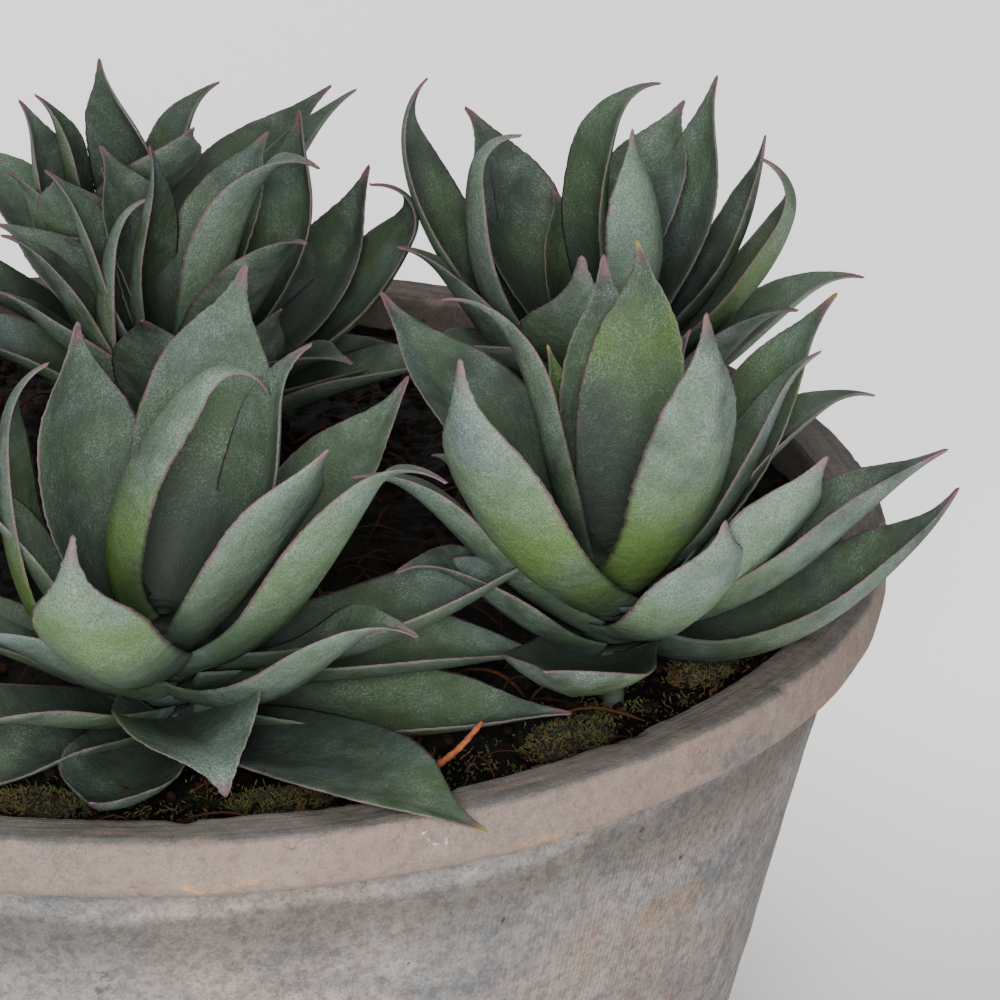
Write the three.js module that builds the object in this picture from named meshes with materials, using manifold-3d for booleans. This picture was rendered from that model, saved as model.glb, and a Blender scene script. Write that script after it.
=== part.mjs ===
// Potted houseleek: seven moulded rosettes planted close together in a round, aged clay pot.
// Millimetres, +Z up. The origin is the centre of the pot's underside, and the photograph was
// taken from -Y, looking slightly down.
import * as THREE from 'three';
import { mergeVertices } from 'three/addons/utils/BufferGeometryUtils.js';
import Module from 'manifold-3d';

const wasm = await Module();
wasm.setup();

// Pot
const POT_HEIGHT = 200;
const RIM_RADIUS = 190;
const RIM_BAND = 13;
const RIM_INNER_RADIUS = 177;
const EDGE_ROUND = 1.6;
const NECK_RADIUS = 180;
const NECK_DEPTH = 16.5;
const BASE_RADIUS = 134;
const BASE_CHAMFER = 2;
const WALL = 12;
const FLOOR_THICKNESS = 14;
const POT_SIDES = 40;

// Growing mix
const SOIL_EDGE_Z = 189;
const SOIL_MOUND = 6;
const FIT_GAP = 0.35;

// Rosettes
const STEM_RADIUS = 3;
const STEM_BURIED = 22;
const STEM_SIDES = 6;
const COLLAR_RADIUS = 8.5;
const COLLAR_HEIGHT = 4.4;
const COLLAR_SIDES = 8;
const WHORL_PITCH = 6;
const LEAF_ROOT = 6.5;
const LEAF_THICKNESS = 2.4;
const LEAF_WIDTH = 29;
const LEAF_CUP = 50;

// Share of the leaf's length, and the share of its full width there
const LEAF_STATIONS = [0, 0.2, 0.45, 0.68, 0.86];
const LEAF_OUTLINE = [0.66, 0.82, 1, 0.84, 0.4];

const CLAY = { color: 0x9a918a, roughness: 0.95, metalness: 0 };
const PEAT = { color: 0x1d1712, roughness: 1, metalness: 0 };
const LEAF_GREEN = { color: 0x6f8579, roughness: 0.7, metalness: 0 };
const STEM_GREEN = { color: 0x5d6d55, roughness: 0.75, metalness: 0 };
const MOSS_GREEN = { color: 0x4e5a22, roughness: 1, metalness: 0 };
const BARK_BROWN = { color: 0x8a4a25, roughness: 0.9, metalness: 0 };

const UP = new THREE.Vector3(0, 0, 1);
const plant = new THREE.Group();

const radians = THREE.MathUtils.degToRad;

// One leaf of a whorl. Angles are in degrees and reach in millimetres: azimuth and rise aim the
// straight line from the stem's axis to the tip, start and end are how steeply the midrib rises
// at its root and at its tip, turn swings the tip sideways, roll twists the blade and cup is how
// far its edges curl up.
function leaf(azimuth, rise, reach, { start, end, width = LEAF_WIDTH, turn = 0, roll = 0, cup = LEAF_CUP }) {
  return { azimuth, rise, reach, start, end, width, turn, roll, cup };
}

// Leaves spaced evenly round the stem, each second one a little steeper and shorter
function ring(count, first, rise, reach, { start, end }) {
  return Array.from({ length: count }, (_, index) => {
    const step = index % 2 === 0 ? 1 : -1;
    const azimuth = first + (index * 360) / count;
    return leaf(azimuth, rise + 4 * step, reach - 4 * step, { start: start + 4 * step, end });
  });
}

const LEAVES_A = [
  [
    leaf(-44, 3, 103, { width: 38, start: 12, end: -12, turn: 14, cup: 22 }),
    leaf(-109, 7, 56, { width: 34, start: -9, end: 40, cup: 62 }),
    leaf(-150, -2, 62, { start: 8, end: -10 }),
    leaf(45, 5, 85, { width: 27, start: 15, end: 0 }),
    leaf(110, 5, 80, { width: 27, start: 15, end: 0 }),
  ],
  [
    leaf(-4, 0, 99, { width: 34, start: -15, end: 10, turn: -4, cup: 40 }),
    leaf(-74, 1, 51, { width: 40, start: 0, end: -50, cup: 52 }),
    leaf(-135, 14, 83, { width: 28, start: 10, end: -8 }),
    leaf(160, 12, 85, { width: 27, start: 20, end: 0 }),
    leaf(80, 14, 80, { width: 27, start: 22, end: 0 }),
  ],
  [
    leaf(7, 1, 98, { width: 34, start: -2, end: 2, cup: 46 }),
    leaf(-36, 27, 80, { width: 32, start: -6, end: 22, turn: 6, cup: 44 }),
    leaf(-138, 27, 78, { start: 20, end: 5 }),
    leaf(178, 48, 78, { width: 28, start: 40, end: 35 }),
    leaf(70, 28, 80, { width: 27, start: 35, end: 20 }),
  ],
  [
    leaf(2, 16, 101, { width: 34, start: -10, end: 32 }),
    leaf(-108, 41, 92, { width: 32, start: 12, end: 90, cup: 42 }),
    leaf(30, 39, 93, { width: 36, start: 34, end: 50, cup: 35 }),
    leaf(172, 70, 85, { width: 34, start: -16, end: 134, cup: 40 }),
    leaf(-28, 46, 99, { width: 33, start: 20, end: 44, turn: 6, cup: 44 }),
  ],
  [
    leaf(125, 67, 79, { width: 35, start: 18, end: 113, cup: 45 }),
    leaf(14, 67, 82, { width: 30, start: 42, end: 72 }),
    leaf(-34, 51, 77, { width: 36, start: 42, end: 50, cup: 20 }),
  ],
  [
    leaf(-172, 115, 64, { width: 24, start: 52, end: 212, cup: 70 }),
    leaf(66, 53, 91, { width: 34, start: 70, end: 70, turn: -40, cup: 45 }),
  ],
];
const LEAVES_B = [
  [
    leaf(-112, 20, 58, { width: 40, start: -12, end: 52, cup: 44 }),
    leaf(-167, 28, 63, { width: 28, start: 20, end: 0 }),
    leaf(6, 22, 95, { width: 34, start: -26, end: 52 }),
    leaf(40, 6, 79, { width: 27, start: 20, end: 5 }),
    leaf(105, 5, 74, { width: 27, start: 20, end: 5 }),
  ],
  [
    leaf(-55, 44, 59, { width: 36, start: 10, end: 78, turn: 10, cup: 36 }),
    leaf(-6, 31, 94, { width: 36, start: 4, end: 34, cup: 46 }),
    leaf(-172, 37, 80, { width: 26, start: 26, end: 20 }),
    leaf(130, 24, 71, { width: 27, start: 40, end: 15 }),
    leaf(22, 36, 89, { width: 30, start: 52, end: 8 }),
  ],
  [
    leaf(-130, 52, 107, { width: 33, start: 28, end: 78, cup: 38 }),
    leaf(-26, 41, 72, { width: 38, start: 0, end: 60, cup: 30 }),
    leaf(26, 49, 94, { width: 36, start: 30, end: 56, cup: 40 }),
    leaf(138, 42, 98, { width: 36, start: 56, end: 58, cup: 40 }),
  ],
  [
    leaf(6, 51, 76, { width: 26, start: 22, end: 58 }),
    leaf(170, 62, 86, { width: 22, start: 66, end: 22, cup: 60 }),
    leaf(97, 79, 81, { width: 27, start: 74, end: 84 }),
    leaf(-58, 66, 89, { width: 31, start: 36, end: 92, cup: 40 }),
  ],
  [
    leaf(68, 78, 79, { width: 27, start: 96, end: 74, turn: 90, cup: 40 }),
    leaf(30, 71, 59, { width: 24, start: 66, end: 84, cup: 60 }),
    leaf(140, 69, 55, { width: 19, start: 66, end: 82 }),
  ],
];
const LEAVES_C = [
  [
    leaf(5, 29, 85, { start: 14, end: 14 }),
    leaf(-36, 38, 78, { start: 22, end: 35 }),
    leaf(-167, 48, 80, { width: 34, start: 40, end: 45, cup: 40 }),
    leaf(45, 20, 75, { width: 27, start: 30, end: 10 }),
  ],
  [
    leaf(120, 25, 80, { width: 27, start: 35, end: 15 }),
    leaf(-10, 58, 86, { width: 36, start: 36, end: 126 }),
    leaf(-140, 28, 72, { width: 28, start: 38, end: 20 }),
  ],
  [
    leaf(2, 57, 83, { start: 36, end: 92 }),
    leaf(160, 58, 99, { width: 32, start: 26, end: 106 }),
    leaf(-98, 42, 90, { width: 38, start: 28, end: 90, cup: 40 }),
  ],
  [
    leaf(134, 57, 77, { width: 36, start: 40, end: 84, cup: 45 }),
    leaf(28, 65, 83, { width: 30, start: 34, end: 102, cup: 45 }),
    leaf(120, 67, 48, { width: 22, start: 60, end: 65 }),
    leaf(174, 72, 69, { width: 38, start: 0, end: 147 }),
  ],
  [
    leaf(-50, 79, 65, { width: 24, start: 34, end: 104 }),
    leaf(20, 77, 76, { width: 27, start: 100, end: 20, cup: 55 }),
    leaf(54, 52, 73, { width: 30, start: 74, end: 60, cup: 45 }),
  ],
];
const LEAVES_D = [
  [
    leaf(-104, 52, 68, { start: 35, end: 60, cup: 45 }),
    leaf(-58, 50, 72, { width: 26, start: 30, end: 70 }),
    leaf(-20, 22, 88, { start: 30, end: 15 }),
    leaf(175, 25, 85, { start: 35, end: 15 }),
    leaf(50, 18, 78, { width: 28, start: 28, end: 8 }),
  ],
  [
    leaf(-2, 16, 72, { width: 34, start: 20, end: 20 }),
    leaf(-50, 30, 78, { start: 38, end: 25 }),
    leaf(140, 35, 80, { width: 28, start: 45, end: 25 }),
    leaf(-176, 52, 74, { width: 32, start: 40, end: 45, cup: 45 }),
    leaf(-158, 44, 69, { width: 28, start: 45, end: 60 }),
  ],
  [
    leaf(14, 46, 81, { width: 37, start: 6, end: 118, cup: 45 }),
    leaf(30, 45, 80, { width: 36, start: 8, end: 102, cup: 45 }),
    leaf(170, 80, 60, { width: 35, start: -20, end: 146, cup: 45 }),
    leaf(168, 63, 74, { start: 55, end: 65 }),
  ],
  [
    leaf(34, 62, 77, { width: 38, start: 18, end: 124, cup: 45 }),
    leaf(-58, 46, 85, { width: 27, start: 50, end: 40, cup: 45 }),
    leaf(160, 86, 66, { width: 30, start: 58, end: 102, cup: 55 }),
    leaf(130, 61, 62, { width: 26, start: 66, end: 60 }),
  ],
  [
    leaf(-30, 57, 77, { width: 30, start: 74, end: 4 }),
    leaf(50, 57, 67, { width: 28, start: 78, end: 62 }),
    leaf(130, 61, 62, { width: 28, start: 75, end: 72 }),
  ],
];
const LEAVES_E = [
  [
    leaf(-15, 22, 75, { width: 28, start: 26, end: 15 }),
    leaf(180, 25, 78, { width: 28, start: 30, end: 15 }),
    leaf(80, 25, 75, { width: 28, start: 30, end: 15 }),
  ],
  [
    leaf(12, 44, 97, { width: 28, start: 34, end: 60 }),
    leaf(135, 35, 75, { width: 28, start: 45, end: 25 }),
    leaf(-100, 45, 65, { width: 28, start: 45, end: 45 }),
    leaf(-155, 62, 60, { width: 26, start: 50, end: 60 }),
  ],
  [
    leaf(34, 35, 93, { width: 31, start: 44, end: 58, cup: 45 }),
    leaf(158, 69, 64, { width: 30, start: 55, end: 82 }),
    leaf(-110, 55, 66, { width: 28, start: 55, end: 60 }),
  ],
  [
    leaf(16, 62, 67, { width: 30, start: 58, end: 50, cup: 45 }),
    leaf(40, 94, 67, { width: 32, start: 50, end: 126, cup: 40 }),
  ],
  [
    leaf(-62, 50, 77, { width: 30, start: 70, end: 75, cup: 40 }),
    leaf(175, 72, 55, { width: 24, start: 80, end: 68 }),
  ],
];

// Outside the photograph on the left: the same growth, laid out evenly
const LEAVES_F = [
  ring(5, -20, 16, 84, { start: 26, end: 10 }),
  ring(4, 15, 34, 84, { start: 42, end: 26 }),
  ring(4, -30, 50, 82, { start: 54, end: 56 }),
  ring(3, 20, 65, 74, { start: 68, end: 68 }),
  ring(2, -20, 77, 62, { start: 84, end: 66 }),
];
const LEAVES_G = [
  ring(5, -15, 8, 82, { start: 18, end: 2 }),
  ring(4, 20, 26, 82, { start: 36, end: 18 }),
  ring(4, -25, 46, 80, { start: 50, end: 48 }),
  ring(3, 10, 63, 74, { start: 66, end: 66 }),
  ring(2, -30, 76, 62, { start: 84, end: 64 }),
];

const ROSETTES = [
  { name: 'rosette_a', x: -2, y: -120, z: 195, whorls: LEAVES_A },
  { name: 'rosette_b', x: 109, y: -102, z: 206, whorls: LEAVES_B },
  { name: 'rosette_c', x: 118, y: 62, z: 200, whorls: LEAVES_C },
  { name: 'rosette_d', x: 5, y: 55, z: 200, whorls: LEAVES_D },
  { name: 'rosette_e', x: -15, y: 128, z: 200, whorls: LEAVES_E },
  { name: 'rosette_f', x: -115, y: 50, z: 200, whorls: LEAVES_F },
  { name: 'rosette_g', x: -125, y: -62, z: 200, whorls: LEAVES_G },
];

// Low cushions of moss on the growing mix: centre, half length, half breadth, height and turn
const MOSS_PATCHES = [
  { x: 96, y: -123, long: 15, broad: 9, height: 3.4, turn: 45 },
  { x: 133, y: -84, long: 12, broad: 8, height: 3, turn: 60 },
  { x: -32, y: -150, long: 16, broad: 8, height: 3, turn: -12 },
  { x: 24, y: -153, long: 13, broad: 7, height: 2.6, turn: 8 },
];

// Fallen twigs and one thin dry stalk, each from end to end above the growing mix
const TWIGS = [
  { name: 'twig_amber', from: [58, -146], to: [74, -139], lift: 12, radius: 0.9 },
  { name: 'twig_brown', from: [86, -140], to: [106, -133], lift: 1, radius: 0.8 },
  { name: 'stalk_dry', from: [137, -94], to: [133, -106], lift: 3, radius: 0.6 },
  { name: 'needle_pine', from: [40, -157], to: [62, -151], lift: 0.6, radius: 0.5 },
];

function toSolid(geometry) {
  const bare = geometry.clone();
  bare.deleteAttribute('normal');
  bare.deleteAttribute('uv');
  const merged = mergeVertices(bare, 1e-4);
  return new wasm.Manifold(new wasm.Mesh({
    numProp: 3,
    vertProperties: new Float32Array(merged.attributes.position.array),
    triVerts: new Uint32Array(merged.index.array),
  }));
}

function toGeometry(solid) {
  const mesh = solid.getMesh();
  const geometry = new THREE.BufferGeometry();
  geometry.setAttribute('position', new THREE.BufferAttribute(new Float32Array(mesh.vertProperties), 3));
  geometry.setIndex(new THREE.BufferAttribute(new Uint32Array(mesh.triVerts), 1));
  return geometry;
}

function addPiece(name, solid, finish) {
  const mesh = new THREE.Mesh(toGeometry(solid), new THREE.MeshStandardMaterial(finish));
  mesh.name = name;
  plant.add(mesh);
}

// A solid of revolution about Z from points of radius and height
function turned(points, sides) {
  const profile = points.map(([radius, height]) => new THREE.Vector2(radius, height));
  const geometry = new THREE.LatheGeometry(profile, sides);
  geometry.rotateX(Math.PI / 2);
  return geometry;
}

// A rod between two points
function rod(from, to, radius, sides) {
  const span = new THREE.Vector3().subVectors(to, from);
  const middle = new THREE.Vector3().addVectors(from, to).multiplyScalar(0.5);
  const upright = new THREE.Vector3(0, 1, 0);
  const swing = new THREE.Quaternion().setFromUnitVectors(upright, span.clone().normalize());
  const geometry = new THREE.CylinderGeometry(radius, radius, span.length(), sides);
  geometry.applyQuaternion(swing);
  geometry.translate(middle.x, middle.y, middle.z);
  return geometry;
}

function heading(azimuth, rise) {
  const level = Math.cos(radians(rise));
  return new THREE.Vector3(
    Math.cos(radians(azimuth)) * level,
    Math.sin(radians(azimuth)) * level,
    Math.sin(radians(rise)),
  );
}

// The midrib leaves the collar at the start angle and reaches the tip at the end angle
function midrib(spec, axis) {
  const root = axis.clone().addScaledVector(heading(spec.azimuth, 0), LEAF_ROOT);
  const tip = axis.clone().addScaledVector(heading(spec.azimuth, spec.rise), spec.reach);
  const fromRoot = root.clone().addScaledVector(heading(spec.azimuth, spec.start), 0.4 * spec.reach);
  const toTip = tip.clone().addScaledVector(heading(spec.azimuth + spec.turn, spec.end), -0.3 * spec.reach);
  return new THREE.CubicBezierCurve3(root, fromRoot, toTip, tip);
}

// A cupped blade with a shallow V section: left edge, keel above, right edge, keel below.
// The clearance cut round a blade is the same shape, fattened by grow and with blunt edges.
function blade(spec, axis, grow = 0) {
  const curve = midrib(spec, axis);
  const across = heading(spec.azimuth + 90, 0);
  const points = [];
  LEAF_STATIONS.forEach((station, index) => {
    const centre = curve.getPointAt(station);
    const along = curve.getTangentAt(station);
    const side = across.clone().addScaledVector(along, -across.dot(along)).normalize();
    const face = new THREE.Vector3().crossVectors(along, side);
    side.applyAxisAngle(along, radians(spec.roll * station));
    face.applyAxisAngle(along, radians(spec.roll * station));
    if (index === 0) {
      centre.addScaledVector(along, -2 * grow);
    }
    const half = 0.5 * spec.width * LEAF_OUTLINE[index];
    const bend = radians(spec.cup) * (1 - 0.55 * station);
    const spread = (Math.sin(bend) / bend) * half + grow;
    const lift = ((1 - Math.cos(bend)) / bend) * half;
    const thick = 0.5 * LEAF_THICKNESS + 1.3 * grow;
    const edge = 1.6 * grow;
    const sharp = [[-spread, lift], [0, thick], [spread, lift], [0, -thick]];
    const blunt = [
      [-spread, lift - edge], [-spread, lift + edge], [0, thick],
      [spread, lift + edge], [spread, lift - edge], [0, -thick],
    ];
    const section = grow === 0 ? sharp : blunt;
    for (const [sideways, upwards] of section) {
      points.push(centre.clone().addScaledVector(side, sideways).addScaledVector(face, upwards));
    }
  });
  points.push(curve.getPointAt(1).addScaledVector(curve.getTangentAt(1), 3 * grow));
  const tip = points.length - 1;
  const corners = tip / LEAF_STATIONS.length;
  const faces = grow === 0 ? [[0, 1, 3], [1, 2, 3]] : [[0, 1, 2], [0, 2, 5], [2, 3, 4], [2, 4, 5]];
  for (let index = 0; index < LEAF_STATIONS.length; index += 1) {
    for (let corner = 0; corner < corners; corner += 1) {
      const here = corners * index + corner;
      const next = corners * index + ((corner + 1) % corners);
      if (index + 1 < LEAF_STATIONS.length) {
        faces.push([here, here + corners, next], [next, here + corners, next + corners]);
      } else {
        faces.push([here, tip, next]);
      }
    }
  }
  const geometry = new THREE.BufferGeometry();
  const positions = new Float32Array(points.flatMap((point) => point.toArray()));
  geometry.setAttribute('position', new THREE.BufferAttribute(positions, 3));
  geometry.setIndex(faces.flat());
  return toSolid(geometry);
}

function collar(axis, grow = 0) {
  const half = 0.5 * COLLAR_HEIGHT + grow;
  const from = axis.clone().addScaledVector(UP, -half);
  const to = axis.clone().addScaledVector(UP, half);
  return toSolid(rod(from, to, COLLAR_RADIUS + grow, COLLAR_SIDES));
}

function whorlSolid(leaves, axis, grow = 0) {
  return leaves.reduce((whole, spec) => whole.add(blade(spec, axis, grow)), collar(axis, grow));
}

function largestPiece(solid) {
  return solid.decompose().sort((a, b) => b.volume() - a.volume())[0];
}

function apart(one, other) {
  const a = one.boundingBox();
  const b = other.boundingBox();
  return [0, 1, 2].some((axis) => a.min[axis] > b.max[axis] || b.min[axis] > a.max[axis]);
}

const innerRadius = (height) => {
  const slope = (NECK_RADIUS - BASE_RADIUS) / (POT_HEIGHT - NECK_DEPTH);
  return BASE_RADIUS + slope * height - WALL;
};
const INNER_STEP_Z = 180;

function potSolid() {
  const top = POT_HEIGHT;
  return toSolid(turned([
    [0, 0],
    [BASE_RADIUS - BASE_CHAMFER, 0],
    [BASE_RADIUS, BASE_CHAMFER],
    [NECK_RADIUS, top - NECK_DEPTH],
    [RIM_RADIUS - 4, top - RIM_BAND - 1.2],
    [RIM_RADIUS, top - RIM_BAND + 0.6],
    [RIM_RADIUS, top - EDGE_ROUND],
    [RIM_RADIUS - 0.5 * EDGE_ROUND, top - 0.3 * EDGE_ROUND],
    [RIM_RADIUS - EDGE_ROUND - 0.6, top],
    [RIM_INNER_RADIUS + 1, top],
    [RIM_INNER_RADIUS, top - 1.2],
    [RIM_INNER_RADIUS - 1, INNER_STEP_Z + 6],
    [innerRadius(INNER_STEP_Z) + 1, INNER_STEP_Z - 6],
    [innerRadius(FLOOR_THICKNESS), FLOOR_THICKNESS],
    [0, FLOOR_THICKNESS],
  ], POT_SIDES));
}

const soilHeight = (radius) => SOIL_EDGE_Z + SOIL_MOUND * (1 - (radius / RIM_INNER_RADIUS) ** 2);

// The growing mix fills the pot and carries a bore for each stem
function soilSolid() {
  const wall = RIM_INNER_RADIUS - 1.3 - FIT_GAP;
  const surface = [wall, 150, 120, 80, 40, 0].map((radius) => [radius, soilHeight(radius)]);
  let soil = toSolid(turned([
    [0, FLOOR_THICKNESS + FIT_GAP],
    [innerRadius(FLOOR_THICKNESS) - FIT_GAP, FLOOR_THICKNESS + FIT_GAP],
    [innerRadius(INNER_STEP_Z) + 1 - FIT_GAP, INNER_STEP_Z - 6],
    [RIM_INNER_RADIUS - 1 - FIT_GAP - 0.2, INNER_STEP_Z + 6],
    ...surface,
  ], POT_SIDES));
  for (const rosette of ROSETTES) {
    const ground = soilHeight(Math.hypot(rosette.x, rosette.y));
    const foot = new THREE.Vector3(rosette.x, rosette.y, ground - STEM_BURIED - FIT_GAP);
    const mouth = foot.clone().setZ(ground + 10);
    soil = soil.subtract(toSolid(rod(foot, mouth, STEM_RADIUS + FIT_GAP, STEM_SIDES)));
  }
  return soil;
}

addPiece('pot', potSolid(), CLAY);
addPiece('soil', soilSolid(), PEAT);

// A cushion's flat underside follows the fall of the growing mix towards the rim
MOSS_PATCHES.forEach(({ x, y, long, broad, height, turn }, index) => {
  const radius = Math.hypot(x, y);
  const fall = (2 * SOIL_MOUND * radius) / RIM_INNER_RADIUS ** 2;
  const geometry = turned([[0, 0], [1, 0], [0.86, 0.55], [0.5, 0.9], [0, 1]], 10);
  geometry.scale(long, broad, height);
  geometry.rotateZ(radians(turn));
  geometry.applyQuaternion(new THREE.Quaternion().setFromUnitVectors(
    UP,
    new THREE.Vector3((fall * x) / radius, (fall * y) / radius, 1).normalize(),
  ));
  geometry.translate(x, y, soilHeight(radius) + FIT_GAP);
  addPiece(`moss_${index + 1}`, toSolid(geometry), MOSS_GREEN);
});

TWIGS.forEach(({ name, from, to, lift, radius }) => {
  const low = new THREE.Vector3(...from, soilHeight(Math.hypot(...from)) + radius + FIT_GAP + 0.2);
  const high = new THREE.Vector3(...to, low.z + lift);
  addPiece(name, toSolid(rod(low, high, radius, 6)), BARK_BROWN);
});

const placed = [];
for (const rosette of ROSETTES) {
  const ground = soilHeight(Math.hypot(rosette.x, rosette.y));
  const top = rosette.z + WHORL_PITCH * (rosette.whorls.length - 1) + 0.5 * COLLAR_HEIGHT + 1;
  const foot = new THREE.Vector3(rosette.x, rosette.y, ground - STEM_BURIED);
  const head = foot.clone().setZ(top);
  addPiece(`${rosette.name}_stem`, toSolid(rod(foot, head, STEM_RADIUS, STEM_SIDES)), STEM_GREEN);
  const bore = toSolid(rod(foot, head.clone().setZ(top + 60), STEM_RADIUS + FIT_GAP, STEM_SIDES));
  rosette.whorls.forEach((leaves, index) => {
    const axis = new THREE.Vector3(rosette.x, rosette.y, rosette.z + WHORL_PITCH * index);
    let whorl = whorlSolid(leaves, axis).subtract(bore);
    for (const other of placed) {
      if (!apart(whorl, other.solid) && !whorl.intersect(other.solid).isEmpty()) {
        whorl = whorl.subtract(whorlSolid(other.leaves, other.axis, FIT_GAP));
      }
    }
    const solid = largestPiece(whorl);
    addPiece(`${rosette.name}_whorl_${index + 1}`, solid, LEAF_GREEN);
    placed.push({ solid, leaves, axis });
  });
}

export default plant;
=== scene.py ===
"""Looks of the potted houseleek: moulded leaf whorls, aged clay, growing mix, moss and dry bits.

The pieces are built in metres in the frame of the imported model. The pot stands on z = 0, its axis
is Z, and the photograph was taken from -Y. The sizes of the plant and its pot are typed in
millimetres and turned into metres when a mesh is made.
"""

import logging
import math
import random
from collections.abc import Callable, Sequence
from dataclasses import dataclass, field
from enum import Enum
from typing import Any

import bpy
import numpy as np
from mathutils import Matrix, Vector, noise

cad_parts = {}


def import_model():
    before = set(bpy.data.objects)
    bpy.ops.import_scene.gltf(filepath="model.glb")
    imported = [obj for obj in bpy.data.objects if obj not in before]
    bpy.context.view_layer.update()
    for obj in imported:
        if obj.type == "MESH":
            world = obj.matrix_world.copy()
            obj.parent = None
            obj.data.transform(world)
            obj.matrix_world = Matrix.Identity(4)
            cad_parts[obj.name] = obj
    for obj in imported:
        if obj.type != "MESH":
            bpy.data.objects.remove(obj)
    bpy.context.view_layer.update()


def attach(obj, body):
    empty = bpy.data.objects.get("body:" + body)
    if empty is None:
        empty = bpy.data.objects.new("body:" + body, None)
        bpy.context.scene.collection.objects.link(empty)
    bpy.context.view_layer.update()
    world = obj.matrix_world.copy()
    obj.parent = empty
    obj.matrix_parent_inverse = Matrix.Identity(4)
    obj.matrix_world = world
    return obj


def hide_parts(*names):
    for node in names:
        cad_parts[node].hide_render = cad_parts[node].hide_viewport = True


LOG = logging.getLogger("potted_houseleek")
MM = 0.001
BODY = "root"
Array = np.ndarray
Faces = list[tuple[int, ...]]
Colour = tuple[float, float, float]


class Slot(Enum):
    """Names of the material slots."""

    CLAY = "aged_clay"
    MIX = "growing_mix"
    LEAF = "leaf"
    STEM = "stem"
    MOSS = "moss"
    TWIG = "twig"


class Place(Enum):
    """Where a chip is knocked out of the rim."""

    OUTER_EDGE = "outer edge"
    INNER_EDGE = "inner edge"


def paint(code: str) -> Colour:
    """Turns a colour as seen on a screen into light values.

    Args:
        code: Six hex digits.

    Returns:
        Linear red, green and blue.
    """
    seen = [int(code[place:place + 2], 16) / 255 for place in (0, 2, 4)]
    red, green, blue = (part / 12.92 if part <= 0.04045 else ((part + 0.055) / 1.055) ** 2.4 for part in seen)
    return red, green, blue


# Shader maths


def operator(operation: str, reflected: bool = False) -> Callable[..., "Field"]:
    """Makes a method of Field that adds one Math node.

    Args:
        operation: The Math node's operation.
        reflected: Whether the field stands on the right of the operator.

    Returns:
        The method.
    """
    def method(self: "Field", other: Any = 0.0) -> "Field":
        """The operation on the field and the other value."""
        first, second = (other, self) if reflected else (self, other)
        return self.shader.node("ShaderNodeMath", {"operation": operation}, {0: first, 1: second})

    return method


class Field:
    """A socket that can be used in a Python expression."""

    def __init__(self, shader: "Shader", socket: bpy.types.NodeSocket) -> None:
        """Wraps one output socket of a shader."""
        self.shader = shader
        self.socket = socket

    __add__ = operator("ADD")
    __radd__ = operator("ADD", reflected=True)
    __sub__ = operator("SUBTRACT")
    __rsub__ = operator("SUBTRACT", reflected=True)
    __mul__ = operator("MULTIPLY")
    __rmul__ = operator("MULTIPLY", reflected=True)
    __truediv__ = operator("DIVIDE")
    __rtruediv__ = operator("DIVIDE", reflected=True)
    __pow__ = operator("POWER")
    __abs__ = operator("ABSOLUTE")
    # Sine in radians, the angle of the point (other, value), and the smaller and larger of two
    sine = operator("SINE")
    bearing = operator("ARCTAN2")
    least = operator("MINIMUM")
    most = operator("MAXIMUM")

    def rise(self, low: float, high: float) -> "Field":
        """Smooth step from 0 at low to 1 at high, or down when high is below low.

        Args:
            low: Value that gives 0.
            high: Value that gives 1.

        Returns:
            The step, from 0 to 1.
        """
        up = low < high
        ends = {"From Min": min(low, high), "From Max": max(low, high)}
        reach = {"To Min": 0.0 if up else 1.0, "To Max": 1.0 if up else 0.0}
        settings = {"interpolation_type": "SMOOTHSTEP"}
        return self.shader.node("ShaderNodeMapRange", settings, {"Value": self, **ends, **reach})


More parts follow.
